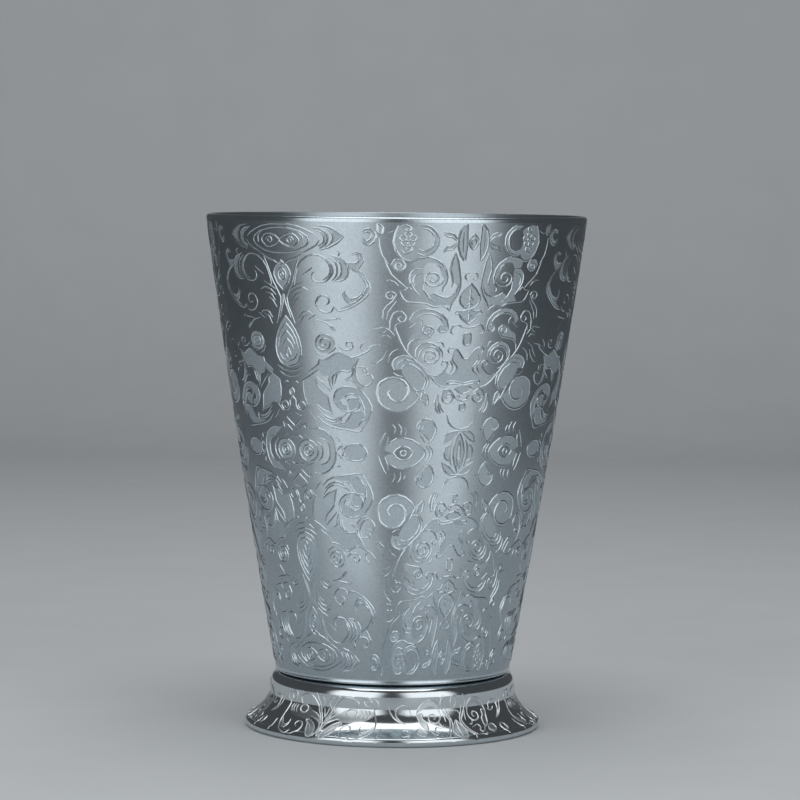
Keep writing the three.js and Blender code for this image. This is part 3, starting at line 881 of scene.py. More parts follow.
# %% [markdown]
# ## From lines to ridges
# Each line becomes a low ridge: a crest with a slope down to the ground on both sides, thinner where the
# line ends. Sculpting or displacing a dense grid would need millions of faces to keep lines this thin
# crisp, so the flat field is triangulated instead, with the crest and the two feet of every ridge as fixed
# edges. The triangles are small where the drawing is fine and large where the ground is bare. A point's
# height is that of the highest ridge over it, so ridges that cross run into each other.

# %% Points along a ridge
BEND_PER_STEP = math.radians(21)
SHORTEST_STEP = 0.2
ENDS_TAPER_OVER = 1.3
END_SHARE = 0.5
TINY = 1e-6


def thin_out(path, closed, longest):
    """Keep a point of the path wherever it has bent enough, or run far enough, since the last one kept."""
    steps = list(zip(path, path[1:] + path[:1])) if closed else list(zip(path, path[1:]))
    kept = [0]
    run = 0.0
    bend = 0.0
    for index in range(1, len(steps)):
        before = steps[index - 1][1] - steps[index - 1][0]
        after = steps[index][1] - steps[index][0]
        run += before.length
        if before.length > 0 and after.length > 0:
            bend += abs(before.angle_signed(after))
        if run > longest or (bend > BEND_PER_STEP and run > SHORTEST_STEP):
            kept.append(index)
            run = 0.0
            bend = 0.0
    if not closed:
        last = len(path) - 1
        if len(kept) > 1 and (path[last] - path[kept[-1]]).length < SHORTEST_STEP:
            kept.pop()
        kept.append(last)
    return [path[index] for index in kept]


def half_widths(crest, width, closed, edge_of_field):
    """The half width of a ridge at each crest point: thinner towards an end, unless it lies on the edge."""
    if closed:
        return [width / 2] * len(crest)
    runs = np.cumsum([0.0] + [(b - a).length for a, b in zip(crest, crest[1:])])
    halves = []
    for run in runs:
        from_start = ENDS_TAPER_OVER if edge_of_field(crest[0]) else run
        from_end = ENDS_TAPER_OVER if edge_of_field(crest[-1]) else runs[-1] - run
        share = min(from_start, from_end, ENDS_TAPER_OVER) / ENDS_TAPER_OVER
        halves.append(width / 2 * (END_SHARE + (1 - END_SHARE) * share))
    return halves


def ridge_edges(crest, halves, closed):
    """The fixed lines of a ridge: its crest and its two feet, which meet in a point at an open end."""
    ahead = crest[1:] + (crest[:1] if closed else [2 * crest[-1] - crest[-2]])
    behind = (crest[-1:] if closed else [2 * crest[0] - crest[1]]) + crest[:-1]
    along = [(a - b).normalized() for a, b in zip(ahead, behind)]
    across = [Vector((-t.y, t.x)) for t in along]
    left = [p + n * w for p, n, w in zip(crest, across, halves)]
    right = [p - n * w for p, n, w in zip(crest, across, halves)]
    if closed:
        return [line + line[:1] for line in (crest, left, right)]
    nose = crest[0] - along[0] * halves[0]
    tail = crest[-1] + along[-1] * halves[-1]
    return [crest, [nose] + left + [tail], [nose] + right + [tail]]


print("a ridge bends at most", round(math.degrees(BEND_PER_STEP)), "degrees per step")

# %% How high the ridges stand at a point
def ridge_height(points, ridges):
    """The share of the full height, from 0 to 1, of the highest ridge over each flat point."""
    height = np.zeros(len(points))
    for crest, halves, closed in ridges:
        line = np.array(crest)
        width = np.array(halves)
        start, end = line[:-1], line[1:]
        first, last = width[:-1], width[1:]
        if closed:
            start, end = line, np.roll(line, -1, axis=0)
            first, last = width, np.roll(width, -1)
        reach = width.max()
        near = np.all((points > line.min(0) - reach) & (points < line.max(0) + reach), axis=1)
        spots = points[near][:, None, :]
        along = end - start
        share = ((spots - start) * along).sum(2) / np.maximum((along**2).sum(1), TINY**2)
        share = np.clip(share, 0, 1)
        away = np.linalg.norm(spots - start - share[:, :, None] * along, axis=2)
        half = first + share * (last - first)
        rise = (half / reach - away / reach).max(1, initial=0.0)
        height[near] = np.maximum(height[near], rise)
    return height


def inside_patch(points, outline):
    """Which flat points lie inside a closed outline, by counting the edges that a ray crosses."""
    corners = np.array(outline)
    odd = np.zeros(len(points), bool)
    for (ax, ay), (bx, by) in zip(corners, np.roll(corners, -1, axis=0)):
        if ay == by:
            continue
        spans = (points[:, 1] < ay) != (points[:, 1] < by)
        odd ^= spans & (points[:, 0] < ax + (points[:, 1] - ay) * (bx - ax) / (by - ay))
    return odd


print("ridge_height measures", len(page.lines), "lines")

# %% Triangulating a field
GROUND, RIDGE, MATTE = 0, 1, 2
SNAP = 0.004
ON_EDGE = 0.05


def triangulate(page, columns, rows, longest, folds=()):
    """Cut a flat field into triangles along its ridges, over a grid of ground points and fixed fold rows."""
    left, right, foot, top = columns[0], columns[-1], rows[0], rows[-1]

    def edge_of_field(point):
        gaps = (point.x - left, point.x - right, point.y - foot, point.y - top)
        return min(abs(gap) for gap in gaps) < ON_EDGE

    ridges = []
    chains = [[Vector((x, y)) for y in rows] for x in (left, right)]
    chains += [[Vector((x, y)) for x in columns] for y in (foot, top, *folds)]
    for path, width, closed in page.lines:
        crest = thin_out(path, closed, longest)
        halves = half_widths(crest, width, closed, edge_of_field)
        ridges.append((crest, halves, closed))
        chains += ridge_edges(crest, halves, closed)
    patches = []
    for outline in page.mattes:
        outline = thin_out(outline, True, longest)
        inner = [Vector((min(max(x, left), right), max(y, foot))) for x, y in outline]
        patches.append(inner)
        chains.append(inner + inner[:1])
    grid = np.array([(x, y) for x in columns for y in rows])
    border = (grid[:, 0] == left) | (grid[:, 0] == right) | (grid[:, 1] == foot) | (grid[:, 1] == top)
    points = [Vector(place) for place in grid[border | (ridge_height(grid, ridges) == 0)]]
    edges = []
    for chain in chains:
        first = len(points)
        points += chain
        edges += [(first + step, first + step + 1) for step in range(len(chain) - 1)]
    spots, _, faces, *_ = delaunay_2d_cdt(points, edges, [], 0, SNAP)
    spots = np.array(spots)
    faces = np.array(faces)
    middles = spots[faces].mean(1)
    kept = (middles[:, 0] > left) & (middles[:, 0] < right) & (middles[:, 1] > foot) & (middles[:, 1] < top)
    middles = middles[kept]
    used, faces = np.unique(faces[kept], return_inverse=True)
    spots = spots[used]
    for axis, border in ((0, left), (0, right), (1, foot), (1, top)):
        spots[np.abs(spots[:, axis] - border) < SNAP / 2, axis] = border
    kinds = np.where(ridge_height(middles, ridges) > 0, RIDGE, GROUND)
    for outline in patches:
        kinds[(kinds == GROUND) & inside_patch(middles, outline)] = MATTE
    return spots, ridge_height(spots, ridges), faces.reshape(-1, 3), kinds


print("kinds of surface: ground", GROUND, "ridge", RIDGE, "matte", MATTE)

# %% [markdown]
# ## Mirroring the field and rolling it up
# The flat field becomes a mesh whose third coordinate is the ridges' height. A Mirror modifier makes the
# mirrored copies, and an Array repeats them three times for the full turn. Then the strip is rolled up: its
# length becomes the angle round the cup, its breadth runs along the outline, and its relief stands out
# square to the surface. Crest and feet of a ridge are marked sharp, so that the light breaks there. The
# ground between the ridges is told which way the smooth metal faces, because a mirror shows even the
# faintest dent that the triangles would leave.

# %% The flat strip
SHARP_EDGE = math.radians(9)
REPEATS = 3


def flat_strip(name, page, field, relief, mirror_up, finishes):
    """A flat field as a mesh in metres, mirrored and repeated into a whole turn."""
    spots, heights, faces, kinds = field
    mesh = bpy.data.meshes.new(name)
    mesh.from_pydata(np.column_stack([spots, heights * relief]) * MM, [], faces.tolist())
    strip = bpy.data.objects.new(name, mesh)
    bpy.context.scene.collection.objects.link(strip)
    for finish in finishes:
        mesh.materials.append(finish)
    mesh.polygons.foreach_set("material_index", kinds)
    clear_selection()
    strip.select_set(True)
    bpy.context.view_layer.objects.active = strip
    bpy.ops.object.shade_smooth()
    bpy.ops.object.mode_set(mode="EDIT")
    bpy.ops.mesh.select_all(action="DESELECT")
    bpy.ops.mesh.edges_select_sharp(sharpness=SHARP_EDGE)
    bpy.ops.mesh.mark_sharp()
    bpy.ops.object.mode_set(mode="OBJECT")
    mirror = strip.modifiers.new("mirror", "MIRROR")
    mirror.use_axis = (True, mirror_up, False)
    mirror.merge_threshold = WELD
    bpy.ops.object.modifier_apply(modifier=mirror.name)
    repeat = strip.modifiers.new("repeat", "ARRAY")
    repeat.count = REPEATS
    repeat.use_relative_offset = False
    repeat.use_constant_offset = True
    repeat.constant_offset_displace = (2 * FIELD_DEGREES * page.degree * MM, 0, 0)
    repeat.use_merge_vertices = True
    repeat.merge_threshold = WELD
    bpy.ops.object.modifier_apply(modifier=repeat.name)
    return strip


def roll_up(strip, page, bearing, section):
    """Roll a flat strip round the axis, where section turns breadth into radius, height, slope and share."""
    places = np.empty(3 * len(strip.data.vertices))
    strip.data.vertices.foreach_get("co", places)
    along, breadth, lift = places.reshape(-1, 3).T / MM
    turn = np.radians(bearing + along / page.degree)
    radius, height, tilt, share = section(breadth)
    radius = radius + lift * share * np.cos(tilt)
    height = height + lift * share * np.sin(tilt)
    rolled = np.column_stack([radius * np.sin(turn), -radius * np.cos(turn), height]) * MM
    strip.data.vertices.foreach_set("co", rolled.ravel())
    strip.data.update()


print("sharp from", round(math.degrees(SHARP_EDGE)), "degrees,", REPEATS, "repeats round the cup")

# %% Joining a rolled strip with the plain surfaces
def join_pieces(name, strip, plain_pieces, finishes):
    """One closed piece from the strip and its plain neighbours, with its normals outwards."""
    for plain in plain_pieces:
        for finish in finishes:
            plain.data.materials.append(finish)
    clear_selection()
    for piece in (strip, *plain_pieces):
        piece.select_set(True)
    bpy.context.view_layer.objects.active = strip
    bpy.ops.object.join()
    strip.name = name
    bpy.ops.object.mode_set(mode="EDIT")
    bpy.ops.mesh.select_all(action="SELECT")
    bpy.ops.mesh.remove_doubles(threshold=WELD)
    bpy.ops.mesh.normals_make_consistent(inside=False)
    bpy.ops.mesh.select_all(action="DESELECT")
    bpy.ops.mesh.select_non_manifold()
    bpy.ops.object.mode_set(mode="OBJECT")
    open_edges = sum(edge.select for edge in strip.data.edges)
    bpy.ops.object.shade_smooth(keep_sharp_edges=True)
    triangles = sum(len(face.vertices) - 2 for face in strip.data.polygons)
    print(name, triangles, "triangles,", open_edges, "open edges")
    return strip


def smooth_ground(piece, facing, low, high):
    """Let all faces but ridges, between two heights in millimetres, shine as the smooth metal would."""
    mesh = piece.data
    corner_count = len(mesh.loops)
    corner_points = np.empty(corner_count, int)
    mesh.loops.foreach_get("vertex_index", corner_points)
    places = np.empty(3 * len(mesh.vertices))
    mesh.vertices.foreach_get("co", places)
    places = places.reshape(-1, 3)[corner_points] / MM
    sizes = np.empty(len(mesh.polygons), int)
    mesh.polygons.foreach_get("loop_total", sizes)
    kinds = np.empty(len(mesh.polygons), int)
    mesh.polygons.foreach_get("material_index", kinds)
    corner_kinds = np.repeat(kinds, sizes)
    middles = np.empty(3 * len(mesh.polygons))
    mesh.polygons.foreach_get("center", middles)
    corner_middles = np.repeat(middles[2::3] / MM, sizes)
    normals = np.empty(3 * corner_count)
    mesh.corner_normals.foreach_get("vector", normals)
    normals = normals.reshape(-1, 3)
    distance = np.hypot(places[:, 0], places[:, 1])
    tilt, wanted = facing(distance, places[:, 2], corner_middles)
    wanted &= (corner_kinds != RIDGE) & (places[:, 2] > low) & (places[:, 2] < high)
    out = np.cos(tilt) / np.maximum(distance, TINY)
    smooth_normals = np.column_stack([places[:, 0] * out, places[:, 1] * out, np.sin(tilt)])
    normals[wanted] = smooth_normals[wanted]
    mesh.normals_split_custom_set(normals.tolist())
    print(piece.name, int(wanted.sum()), "of", corner_count, "corners shine smoothly")


print("neighbours are welded within", WELD / MM, "mm")

# %% [markdown]
# ## The body's finishes
# The ground of the wall is satin steel: fine blasting gives it a soft, even sheen with a faint grain. The
# etched patches are much rougher and a little paler, so they look dull where the ground shows a lamp and
# pale where it shows the dark room. The ridges, which hands rub, are brighter, and the lip and the lower
# edge are burnished, so they are the smoothest. Steel is a cool grey metal, so all four are fully metallic,
# and only roughness, a breath of colour and a very fine bump differ. The grain is a noise on Object
# coordinates, a few spots to the millimetre, so it stays on the cup when the camera moves.

# %% Satin and etched steel
STEEL = (0.475, 0.545, 0.59, 1)
STEEL_DEEP = (0.395, 0.455, 0.495, 1)
RUBBED = (0.585, 0.67, 0.725, 1)
RUBBED_DEEP = (0.49, 0.565, 0.61, 1)
ETCHED = (0.545, 0.625, 0.675, 1)
ETCHED_DEEP = (0.455, 0.525, 0.565, 1)
BLAST_GRAINS = 2600
CLOUDS = 90
CLOUD_DETAIL = 4


def blasted_steel(name, first, second, smoothest, roughest, depth):
    """Steel with a fine blasted grain: uneven in colour and roughness, and very slightly bumpy."""
    finish, shader, nodes, links = new_finish(name)
    shader.inputs["Metallic"].default_value = 1.0
    clouds = grain(nodes, links, CLOUDS, CLOUD_DETAIL)
    speck = grain(nodes, links, BLAST_GRAINS)
    links.new(two_tone(nodes, links, speck, first, second), shader.inputs["Base Color"])
    links.new(between(nodes, links, clouds, smoothest, roughest), shader.inputs["Roughness"])
    bump = nodes.new("ShaderNodeBump")
    bump.inputs["Strength"].default_value = 1.0
    bump.inputs["Distance"].default_value = depth
    links.new(speck, bump.inputs["Height"])
    links.new(bump.outputs["Normal"], shader.inputs["Normal"])
    return finish


satin_steel = blasted_steel("satin_steel", STEEL, STEEL_DEEP, 0.31, 0.36, 0.003 * MM)
ridge_steel = blasted_steel("ridge_steel", RUBBED, RUBBED_DEEP, 0.29, 0.35, 0.003 * MM)
etched_steel = blasted_steel("etched_steel", ETCHED, ETCHED_DEEP, 0.60, 0.66, 0.006 * MM)
burnished_steel = blasted_steel("burnished_steel", RUBBED, RUBBED_DEEP, 0.18, 0.24, 0.001 * MM)
body_finishes = [satin_steel, ridge_steel, etched_steel, burnished_steel]
print("finishes", [finish.name for finish in body_finishes])

# %% [markdown]
# ## The finished body
# The field is cut into triangles, mirrored, repeated and rolled onto the wall, and the open band is closed
# with it. The etching bites deeper towards the foot, so the relief grows downwards from FULL_SHARE to
# DEEP_SHARE. The smooth ground could be left to Blender's own shading, but the lip and the edge would then
# blend into it, so the wall and the edge are each given the slope that the metal has there.

# %% Rolling the strip up onto the wall
WALL_RELIEF = 0.08
FULL_SHARE = 1
DEEP_SHARE = 1.7
WALL_STEP = 1.7
COLUMN_DEGREES = 2
WALL_ROWS = 15
wall_columns = np.arange(0, FIELD_DEGREES + 1, COLUMN_DEGREES) * wall_page.degree
wall_rows = np.linspace(0, BAND_REACH, WALL_ROWS)


def wall_section(breadth):
    """Radius, height and slope of the wall and share of the relief, for millimetres above mid height."""
    height = BAND_MIDDLE + breadth
    share = np.interp(breadth, (-BAND_REACH, BAND_REACH), (DEEP_SHARE, FULL_SHARE))
    return wall_radius(height), height, -wall_lean(height), share


wall_field = triangulate(wall_page, wall_columns, wall_rows, WALL_STEP)
wall_strip = flat_strip("scroll_wall", wall_page, wall_field, WALL_RELIEF, True, body_finishes)
roll_up(wall_strip, wall_page, LINE_BEARING, wall_section)
print("one field:", len(wall_field[2]), "triangles, the rolled wall:", len(wall_strip.data.polygons))

# %% Closing the body
EDGE_TILT = math.radians(9)
MARGIN = 0.1


def wall_facing(distance, height, face_height):
    """The slope of the outer wall and of its burnished edge, and which places lie on them."""
    edge_slope = np.interp(height, (edge_height, EDGE_TOP), (EDGE_TILT, -EDGE_TILT / 2))
    slope = np.where(face_height > EDGE_TOP, -wall_lean(height), edge_slope)
    return slope, (np.abs(distance - wall_radius(height)) < SHEET / 2) & (face_height > edge_height)


cup_body = join_pieces("etched_cup_body", wall_strip, (inside, below), body_finishes)
for face in cup_body.data.polygons:
    distance = math.hypot(face.center.x, face.center.y) / MM
    on_edge = face.center.z < EDGE_TOP * MM and distance > edge_radius - EDGE_BEND
    on_lip = face.center.z > band_top * MM and distance > inner_centre.x - LIP_INSIDE / 2
    if on_edge or on_lip:
        face.material_index = body_finishes.index(burnished_steel)
smooth_ground(cup_body, wall_facing, edge_height - MARGIN, band_top + MARGIN)
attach(cup_body, "root")
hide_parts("cup_body")

# %% [markdown]
# ## The foot's outline
# The foot is spun from its own sheet over a wooden form: a flat flange under the cup's floor, a rounded
# shoulder, an upright collar, a crease, a hollow flare and an edge folded under into a hem. It is a solid of
# revolution like the body. The outer side, from the shoulder down to the hem, carries scrolls of its own and
# is made as a second rolled strip. The flange, the hollow inside and the underside are plain and are spun.

# %% The section of the foot
FOOT_RADIUS = foot_high.x / MM
HEM_WIDTH = 2.6
HEM_HEIGHT = 2.15
HEM_TOP = 1.05
HEM_FOOT = 1.0
HEM_LEAN = math.radians(2)
COLLAR_RADIUS = 27.05
CREASE_HEIGHT = 7.35
FLARE = 9.7
SHOULDER = 2.35
FLANGE_HOLE = 15.0
foot_top = foot_high.z / MM
crease = Vector((COLLAR_RADIUS, CREASE_HEIGHT))
hem_side = HEM_HEIGHT - HEM_TOP + HEM_TOP * math.sin(HEM_LEAN) - HEM_FOOT
hem_inset = HEM_TOP * math.cos(HEM_LEAN) + hem_side * math.tan(HEM_LEAN)
hem_top = Vector((FOOT_RADIUS - hem_inset, HEM_HEIGHT))
chord = hem_top - crease
square = Vector((-chord.y, chord.x)).normalized()
flare_centre = (crease + hem_top) / 2 + square * math.sqrt(FLARE**2 - chord.length_squared / 4)
shoulder_centre = (COLLAR_RADIUS - SHOULDER, foot_top - SHOULDER)


def flare_angle(radius, distance):
    """Where a circle round the flare's centre reaches a distance from the axis, in degrees."""
    return -math.degrees(math.acos((distance - flare_centre.x) / radius))


crease_angle = flare_angle(FLARE, crease.x)
hem_angle = flare_angle(FLARE, hem_top.x)
outer_side = arc(shoulder_centre, SHOULDER, 90, 0, 12)
collar_end = len(outer_side)
outer_side += arc(flare_centre, FLARE, crease_angle, hem_angle, 22)
outer_side += arc((hem_top.x, HEM_HEIGHT - HEM_TOP), HEM_TOP, 90, math.degrees(HEM_LEAN), 8)[1:]
outer_side += [(FOOT_RADIUS, HEM_FOOT)]
side_points = np.array(outer_side)
side_runs = np.concatenate([[0], np.cumsum(np.linalg.norm(np.diff(side_points, axis=0), axis=1))])
crease_run = side_runs[collar_end]
print("the outer side is", round(side_runs[-1], 2), "mm long, with its crease at", round(crease_run, 2))

# %% [markdown]
# ## The scrolls on the foot
# The foot's drawing is mirrored about upright lines too, every 60 degrees, but it has no mirror at mid
# height. Its lines are thinner than the wall's. Points are degrees from the line through the palmette and
# millimetres down the outline from the top of the shoulder.

# %% Arch, palmette and long C-scroll
FOOT_BEARING = -31
FOOT_MEAN_RADIUS = 28.5
FOOT_LINE = 0.36
foot_page = Page([], [], math.radians(1) * FOOT_MEAN_RADIUS, FOOT_LINE)
page = foot_page
stem((14.8, 6.3), (15.5, 5), (14, 4.4), (11.5, 4.05), (9, 4.1), (7, 4.8), (5.5, 5.7), (4.3, 6.6),
     (3.5, 7.6), wide=1.3)
stem((6, 3.5), (5, 4.6), (4, 5.6), (3.2, 6.4), (2.4, 7.6), (1, 9), (0.2, 10.2))
stem((4, 4.3), (2.5, 4.3), (1.4, 5), (1.6, 6), (2.4, 6.6))
ring((12.8, 7.3), 2.4, 0.9)
for shift in (0, 1.8, 3.4):
    stem((17 + shift, 6.6), (17.8 + shift, 7.4), (17 + shift, 8.3))
stem((18.4, 4.2), (20.5, 4.1), (21.6, 4.6), (21, 5.6), (19.6, 5.5))
stem((18.6, 3.8), (18, 4.6), (18.8, 5.4), (20, 5.8))
stem((22.4, 4.1), (23.5, 4.2), (24.6, 4.8), (24.8, 5.6), (23.6, 6.1), (23, 6.6), (23.4, 7.6), (24, 8.8),
     (24, 10.2), (23.2, 11.4), (21.6, 12.6), (19.6, 13.6), (17, 14.3), (14.4, 14.5), (13.6, 13.8),
     (13.8, 13))
stem((23.2, 10.2), (22, 11), (20.4, 11.8), (18.6, 12), (17.5, 11.2), (17.8, 10.3))
stem((20.6, 12), (18.4, 12.9), (17.4, 12.4), (17.2, 11.4))
stem((12.2, 11.9), (13.4, 11.6), (13.4, 10.8), (12.4, 10.4), (10.6, 10.6), (9.4, 11.4), (9.2, 12.6),
     (9.8, 13.6), (11.4, 14.4), (13.2, 14.5))
loop((2, 14.5), (2.2, 12.6), (3.4, 11.2), (5.4, 10.2), (8, 9.6), (9, 9.9), (7.6, 10.6), (6.6, 12),
     (5.2, 13.4), (3.6, 14.5))
stem((3.2, 13.6), (4.6, 12), (6.4, 10.8), (8.2, 10.1), wide=0.8)
band([(1, 10.7), (2.4, 10), (4.4, 9.3), (7.2, 8.8)], [(1, 10.3), (2.2, 9.2), (4.6, 8.1), (7.7, 7.5)])
stem((0.6, 10.3), (1.9, 9), (3.3, 7.8), (4.5, 7))
stem((0, 8.7), (0.7, 7.7), (1.2, 6.6))
stem((3.5, 9.2), (2, 10), (0.8, 11.4), (0.6, 13), (1.2, 14.4))
stem((0, 10.2), (0, 12), (0.8, 14.4))
stem((26.5, 10.9), (26, 12), (25.4, 13), (25, 14.6))
matte((2, 14.5), (2.2, 12.6), (3.4, 11.2), (5.4, 10.2), (8, 9.6), (9, 9.9), (7.6, 10.6), (6.6, 12),
      (5.2, 13.4), (3.6, 14.5))
matte((6.4, 8.9), (8.4, 7), (12.7, 6.4), (19.6, 6.5), (22.9, 6.9), (22.6, 7.9), (19.5, 8.9),
      (13.1, 9.5), (8.6, 9.6))
matte((23.2, 10.2), (22, 11), (20.4, 11.8), (18.6, 12), (17.4, 12.4), (18.4, 12.9), (20.6, 12.9),
      (22.6, 11.8))
print(len(page.lines), "lines so far")

# %% The broad spiral and its leaves
stem((39.2, 7.2), (38.8, 6.2), (37.4, 5.6), (35.4, 5.4), (33.4, 6), (32.6, 7), (33.2, 8), (34.6, 8.8),
     (36, 9.2))
stem((40, 7.2), (39, 7.6), (37, 7.5), (35.9, 7))
stem((29.4, 5.6), (30, 6.6), (31.4, 7.8), (33.4, 8.8), (36.6, 9.6))
stem((33.6, 5.2), (32.2, 5.8), (32.2, 6.6))
loop((37.8, 12.8), (38, 11.8), (36.6, 11.1), (35.2, 11.4), (34.8, 12.4), (35.4, 13.2), (36.6, 13))
stem((37.8, 11.8), (38, 13.2), (36.8, 14.6))
loop((45.6, 12.3), (44, 11.2), (42.6, 10.8), (41.2, 11.4), (41.6, 12.4), (43.4, 13.1))
stem((52.8, 7), (52.4, 5.6), (50.6, 4.6), (48, 4.3), (45.4, 4.8), (43.4, 5.8), (42.2, 7), (42, 7.6))
curl((52.4, 6.4), (53, 7.6), (52.4, 8.8), (50.6, 9.5), (48.4, 9.3), centre=(49.4, 8.2), turns=0.9,
     end=0.3)
stem((51.6, 9), (52, 9.8), (53, 10.4), (53.6, 10.2))
stem((54.2, 6.6), (54.8, 8), (55, 9.2))
stem((42.2, 7.4), (44.4, 7.2), (44.6, 8.4), (46, 9.2), (46.4, 10.4), (46.4, 11.4))
stem((42, 7.6), (43, 9), (44, 10.4), (45.8, 11.4))
stem((53.4, 11.2), (51.6, 10.9), (50, 10.6), (49.2, 11.4), (50.4, 12.3), (49.4, 12.8), (47.8, 12.2),
     (47, 11.4))
stem((48.2, 13), (49, 14), (51, 13.6))
matte((52.8, 7), (52.4, 5.6), (50.6, 4.6), (48, 4.3), (45.4, 4.8), (43.4, 5.8), (42.2, 7), (44.4, 6.6),
      (46.4, 5.9), (48.6, 5.5), (50.6, 5.9))
matte((42.2, 7.4), (44.4, 7.2), (44.6, 8.4), (46, 9.2), (46.4, 10.4), (46.4, 11.4), (44, 10.4), (43, 9))
matte((45.6, 12.3), (44, 11.2), (42.6, 10.8), (41.2, 11.4), (41.6, 12.4), (43.4, 13.1))
print(len(page.lines), "lines so far")

# %% The leaf on the second line
stem((55, 3.3), (53.8, 4.2), (53.6, 5.4), (54.4, 6.6), (56, 8), (57, 9), (56.6, 10.2), (55.4, 11.6),
     (54, 12.8), (53, 13.4))
stem((55.6, 5.6), (56, 6.8), (57.4, 8.2), (58, 9.4), (57.4, 10.8), (56, 12.2), (54.4, 13.6),
     (54.6, 14.6))
ring((60, 4.8), 1.4, 1.25)
stem((57, 8), (57.8, 7), (60, 6.7))
stem((60, 9), (58.4, 10.2), (57.2, 11.6), (57.4, 13), (58.8, 14.4))
stem((60, 9.6), (60, 13.4))
matte((60, 9), (58.4, 10.2), (57.2, 11.6), (57.4, 13), (58.8, 14.4), (60, 14.5))
print(len(page.lines), "lines and", len(page.mattes), "matte patches on the foot")

# %% [markdown]
# ## The foot's finishes
# The foot was polished on the lathe after spinning, so its ground is nearly a mirror, with only a breath of
# unevenness. The engraved lines and leaves were left frosted: they gather light from all round, so they look
# pale where the mirror shows something dark and grey where it shows a lamp.

# %% Mirror and frosted steel
POLISHED = (0.645, 0.70, 0.73, 1)
POLISHED_DEEP = (0.605, 0.66, 0.69, 1)
FROSTED = (0.83, 0.88, 0.905, 1)
FROSTED_DEEP = (0.77, 0.82, 0.845, 1)
FROSTED_GREY = (0.63, 0.68, 0.705, 1)
FROSTED_DULL = (0.57, 0.62, 0.645, 1)


def mirror_steel(name):
    """Lathe-polished steel: a mirror with faint clouds of wear in its colour and roughness."""
    finish, shader, nodes, links = new_finish(name)
    shader.inputs["Metallic"].default_value = 1.0
    clouds = grain(nodes, links, CLOUDS, CLOUD_DETAIL)
    links.new(two_tone(nodes, links, clouds, POLISHED, POLISHED_DEEP), shader.inputs["Base Color"])
    links.new(between(nodes, links, clouds, 0.09, 0.14), shader.inputs["Roughness"])
    return finish


polished_steel = mirror_steel("polished_steel")
frosted_line = blasted_steel("frosted_line", FROSTED, FROSTED_DEEP, 0.34, 0.42, 0.003 * MM)
frosted_leaf = blasted_steel("frosted_leaf", FROSTED_GREY, FROSTED_DULL, 0.3, 0.38, 0.006 * MM)
foot_finishes = [polished_steel, frosted_line, frosted_leaf]
print("finishes", [finish.name for finish in foot_finishes])

# %% Rolling up the foot's strip
FOOT_RELIEF = 0.12
FOOT_STEP = 0.7
foot_columns = np.arange(0, FIELD_DEGREES + 1, COLUMN_DEGREES) * foot_page.degree
collar_middle = np.mean(side_runs[collar_end - 1:collar_end + 1])
foot_rows = np.concatenate([side_runs[:collar_end], [collar_middle], side_runs[collar_end:]])
outwards = np.gradient(side_points[:, 0], side_runs)
upwards = np.gradient(side_points[:, 1], side_runs)
side_slopes = np.arctan2(outwards, -upwards)


def side_section(breadth):
    """Radius, height and slope of the outer side and share of the relief, for millimetres from its top."""
    radius = np.interp(breadth, side_runs, side_points[:, 0])
    height = np.interp(breadth, side_runs, side_points[:, 1])
    return radius, height, np.interp(breadth, side_runs, side_slopes), FULL_SHARE


foot_field = triangulate(foot_page, foot_columns, foot_rows, FOOT_STEP, [crease_run])
foot_strip = flat_strip("scroll_foot", foot_page, foot_field, FOOT_RELIEF, False, foot_finishes)
roll_up(foot_strip, foot_page, FOOT_BEARING, side_section)
print("one field:", len(foot_field[2]), "triangles, the rolled side:", len(foot_strip.data.polygons))

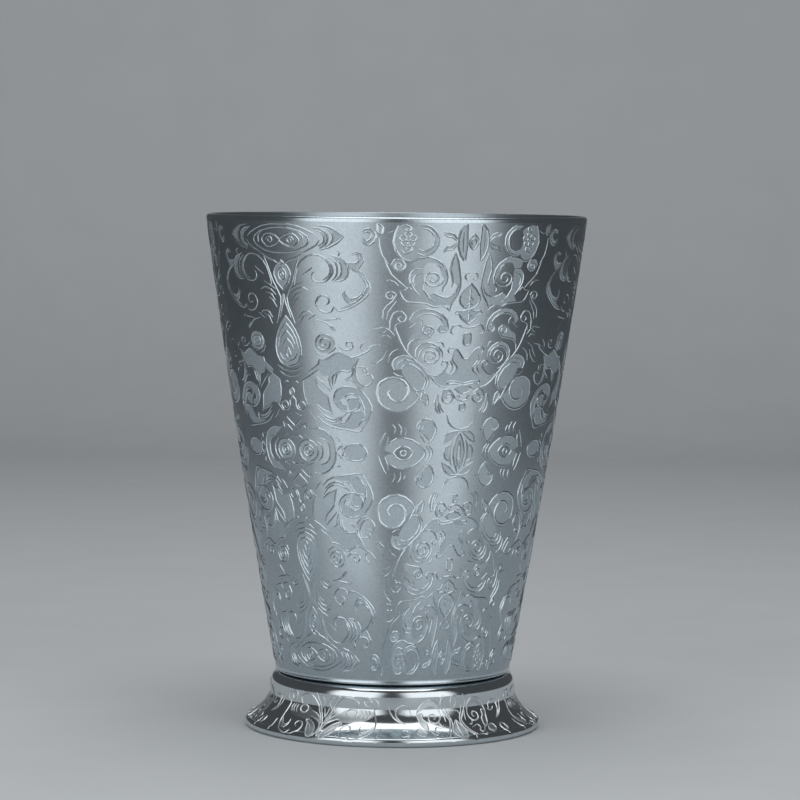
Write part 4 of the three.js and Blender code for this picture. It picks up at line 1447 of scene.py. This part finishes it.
# %% The foot's plain surfaces
SOFT_ANGLE = math.radians(30)
inner_start = flare_angle(FLARE + SHEET, COLLAR_RADIUS - SHEET)
inner_end = flare_angle(FLARE + SHEET, FOOT_RADIUS - HEM_WIDTH)
hidden_side = arc((FOOT_RADIUS - HEM_FOOT, HEM_FOOT), HEM_FOOT, 0, -90, 8)
hidden_side += [(FOOT_RADIUS - HEM_WIDTH, 0.0)]
hidden_side += arc(flare_centre, FLARE + SHEET, inner_end, inner_start, 12)
hidden_side += arc(shoulder_centre, SHOULDER - SHEET, 0, 90, 8)
hidden_side += [(FLANGE_HOLE, foot_top - SHEET), (FLANGE_HOLE, foot_top), outer_side[0]]
hidden_foot = spin_outline("hidden_foot", hidden_side, FOOT_BEARING)
bpy.ops.object.shade_smooth_by_angle(angle=SOFT_ANGLE)
print("plain surfaces", len(hidden_foot.data.polygons), "faces")

# %% Closing the foot
FINE_STEPS = 400


def side_facing(distance, height, face_height):
    """The slope of the outer side, which breaks at the crease, and which places lie on that side."""
    shoulder = np.arcsin(np.clip((height - shoulder_centre[1]) / SHOULDER, 0, 1))
    flare = np.arctan2(flare_centre.y - height, flare_centre.x - distance)
    hem = np.arctan2(height - HEM_HEIGHT + HEM_TOP, np.maximum(distance - hem_top.x, TINY))
    hem = np.maximum(hem, HEM_LEAN)
    below_crease = np.where(distance > hem_top.x + SNAP / 4, hem, flare)
    slope = np.where(face_height > CREASE_HEIGHT, shoulder, below_crease)
    fine_runs = np.linspace(0, side_runs[-1], FINE_STEPS)
    fine_radius, fine_height, *_ = side_section(fine_runs)
    away = (distance[:, None] - fine_radius) ** 2 + (height[:, None] - fine_height) ** 2
    return slope, (away.min(1) < (SHEET / 4) ** 2) & (face_height > HEM_FOOT)


polished_foot = join_pieces("polished_foot", foot_strip, (hidden_foot,), foot_finishes)
smooth_ground(polished_foot, side_facing, 0, foot_top - MARGIN)
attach(polished_foot, "root")
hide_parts("foot")

# %% [markdown]
# ## The braze
# A ring of brazing metal joins the two sheets where nobody looks. Its solid is already right, so it only
# gets a finish: dull and rough like any cast metal, and coloured darker than the metal is, as painted
# shade in the crease between the body and the foot.

# %% The braze's finish
# The braze colours are darker than brazing metal is: painted shade for the crease between body and foot.
BRAZE_WITH_PAINTED_SHADE = (0.42, 0.40, 0.36, 1)
BRAZE_WITH_PAINTED_SHADE_DEEP = (0.34, 0.325, 0.30, 1)
braze_painted_shade_finish = blasted_steel("silver_braze", BRAZE_WITH_PAINTED_SHADE, BRAZE_WITH_PAINTED_SHADE_DEEP, 0.45, 0.55, 0.01 * MM)
braze_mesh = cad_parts["braze_ring"].data
braze_mesh.materials.clear()
braze_mesh.materials.append(braze_painted_shade_finish)
print("braze finish on", len(braze_mesh.polygons), "faces")
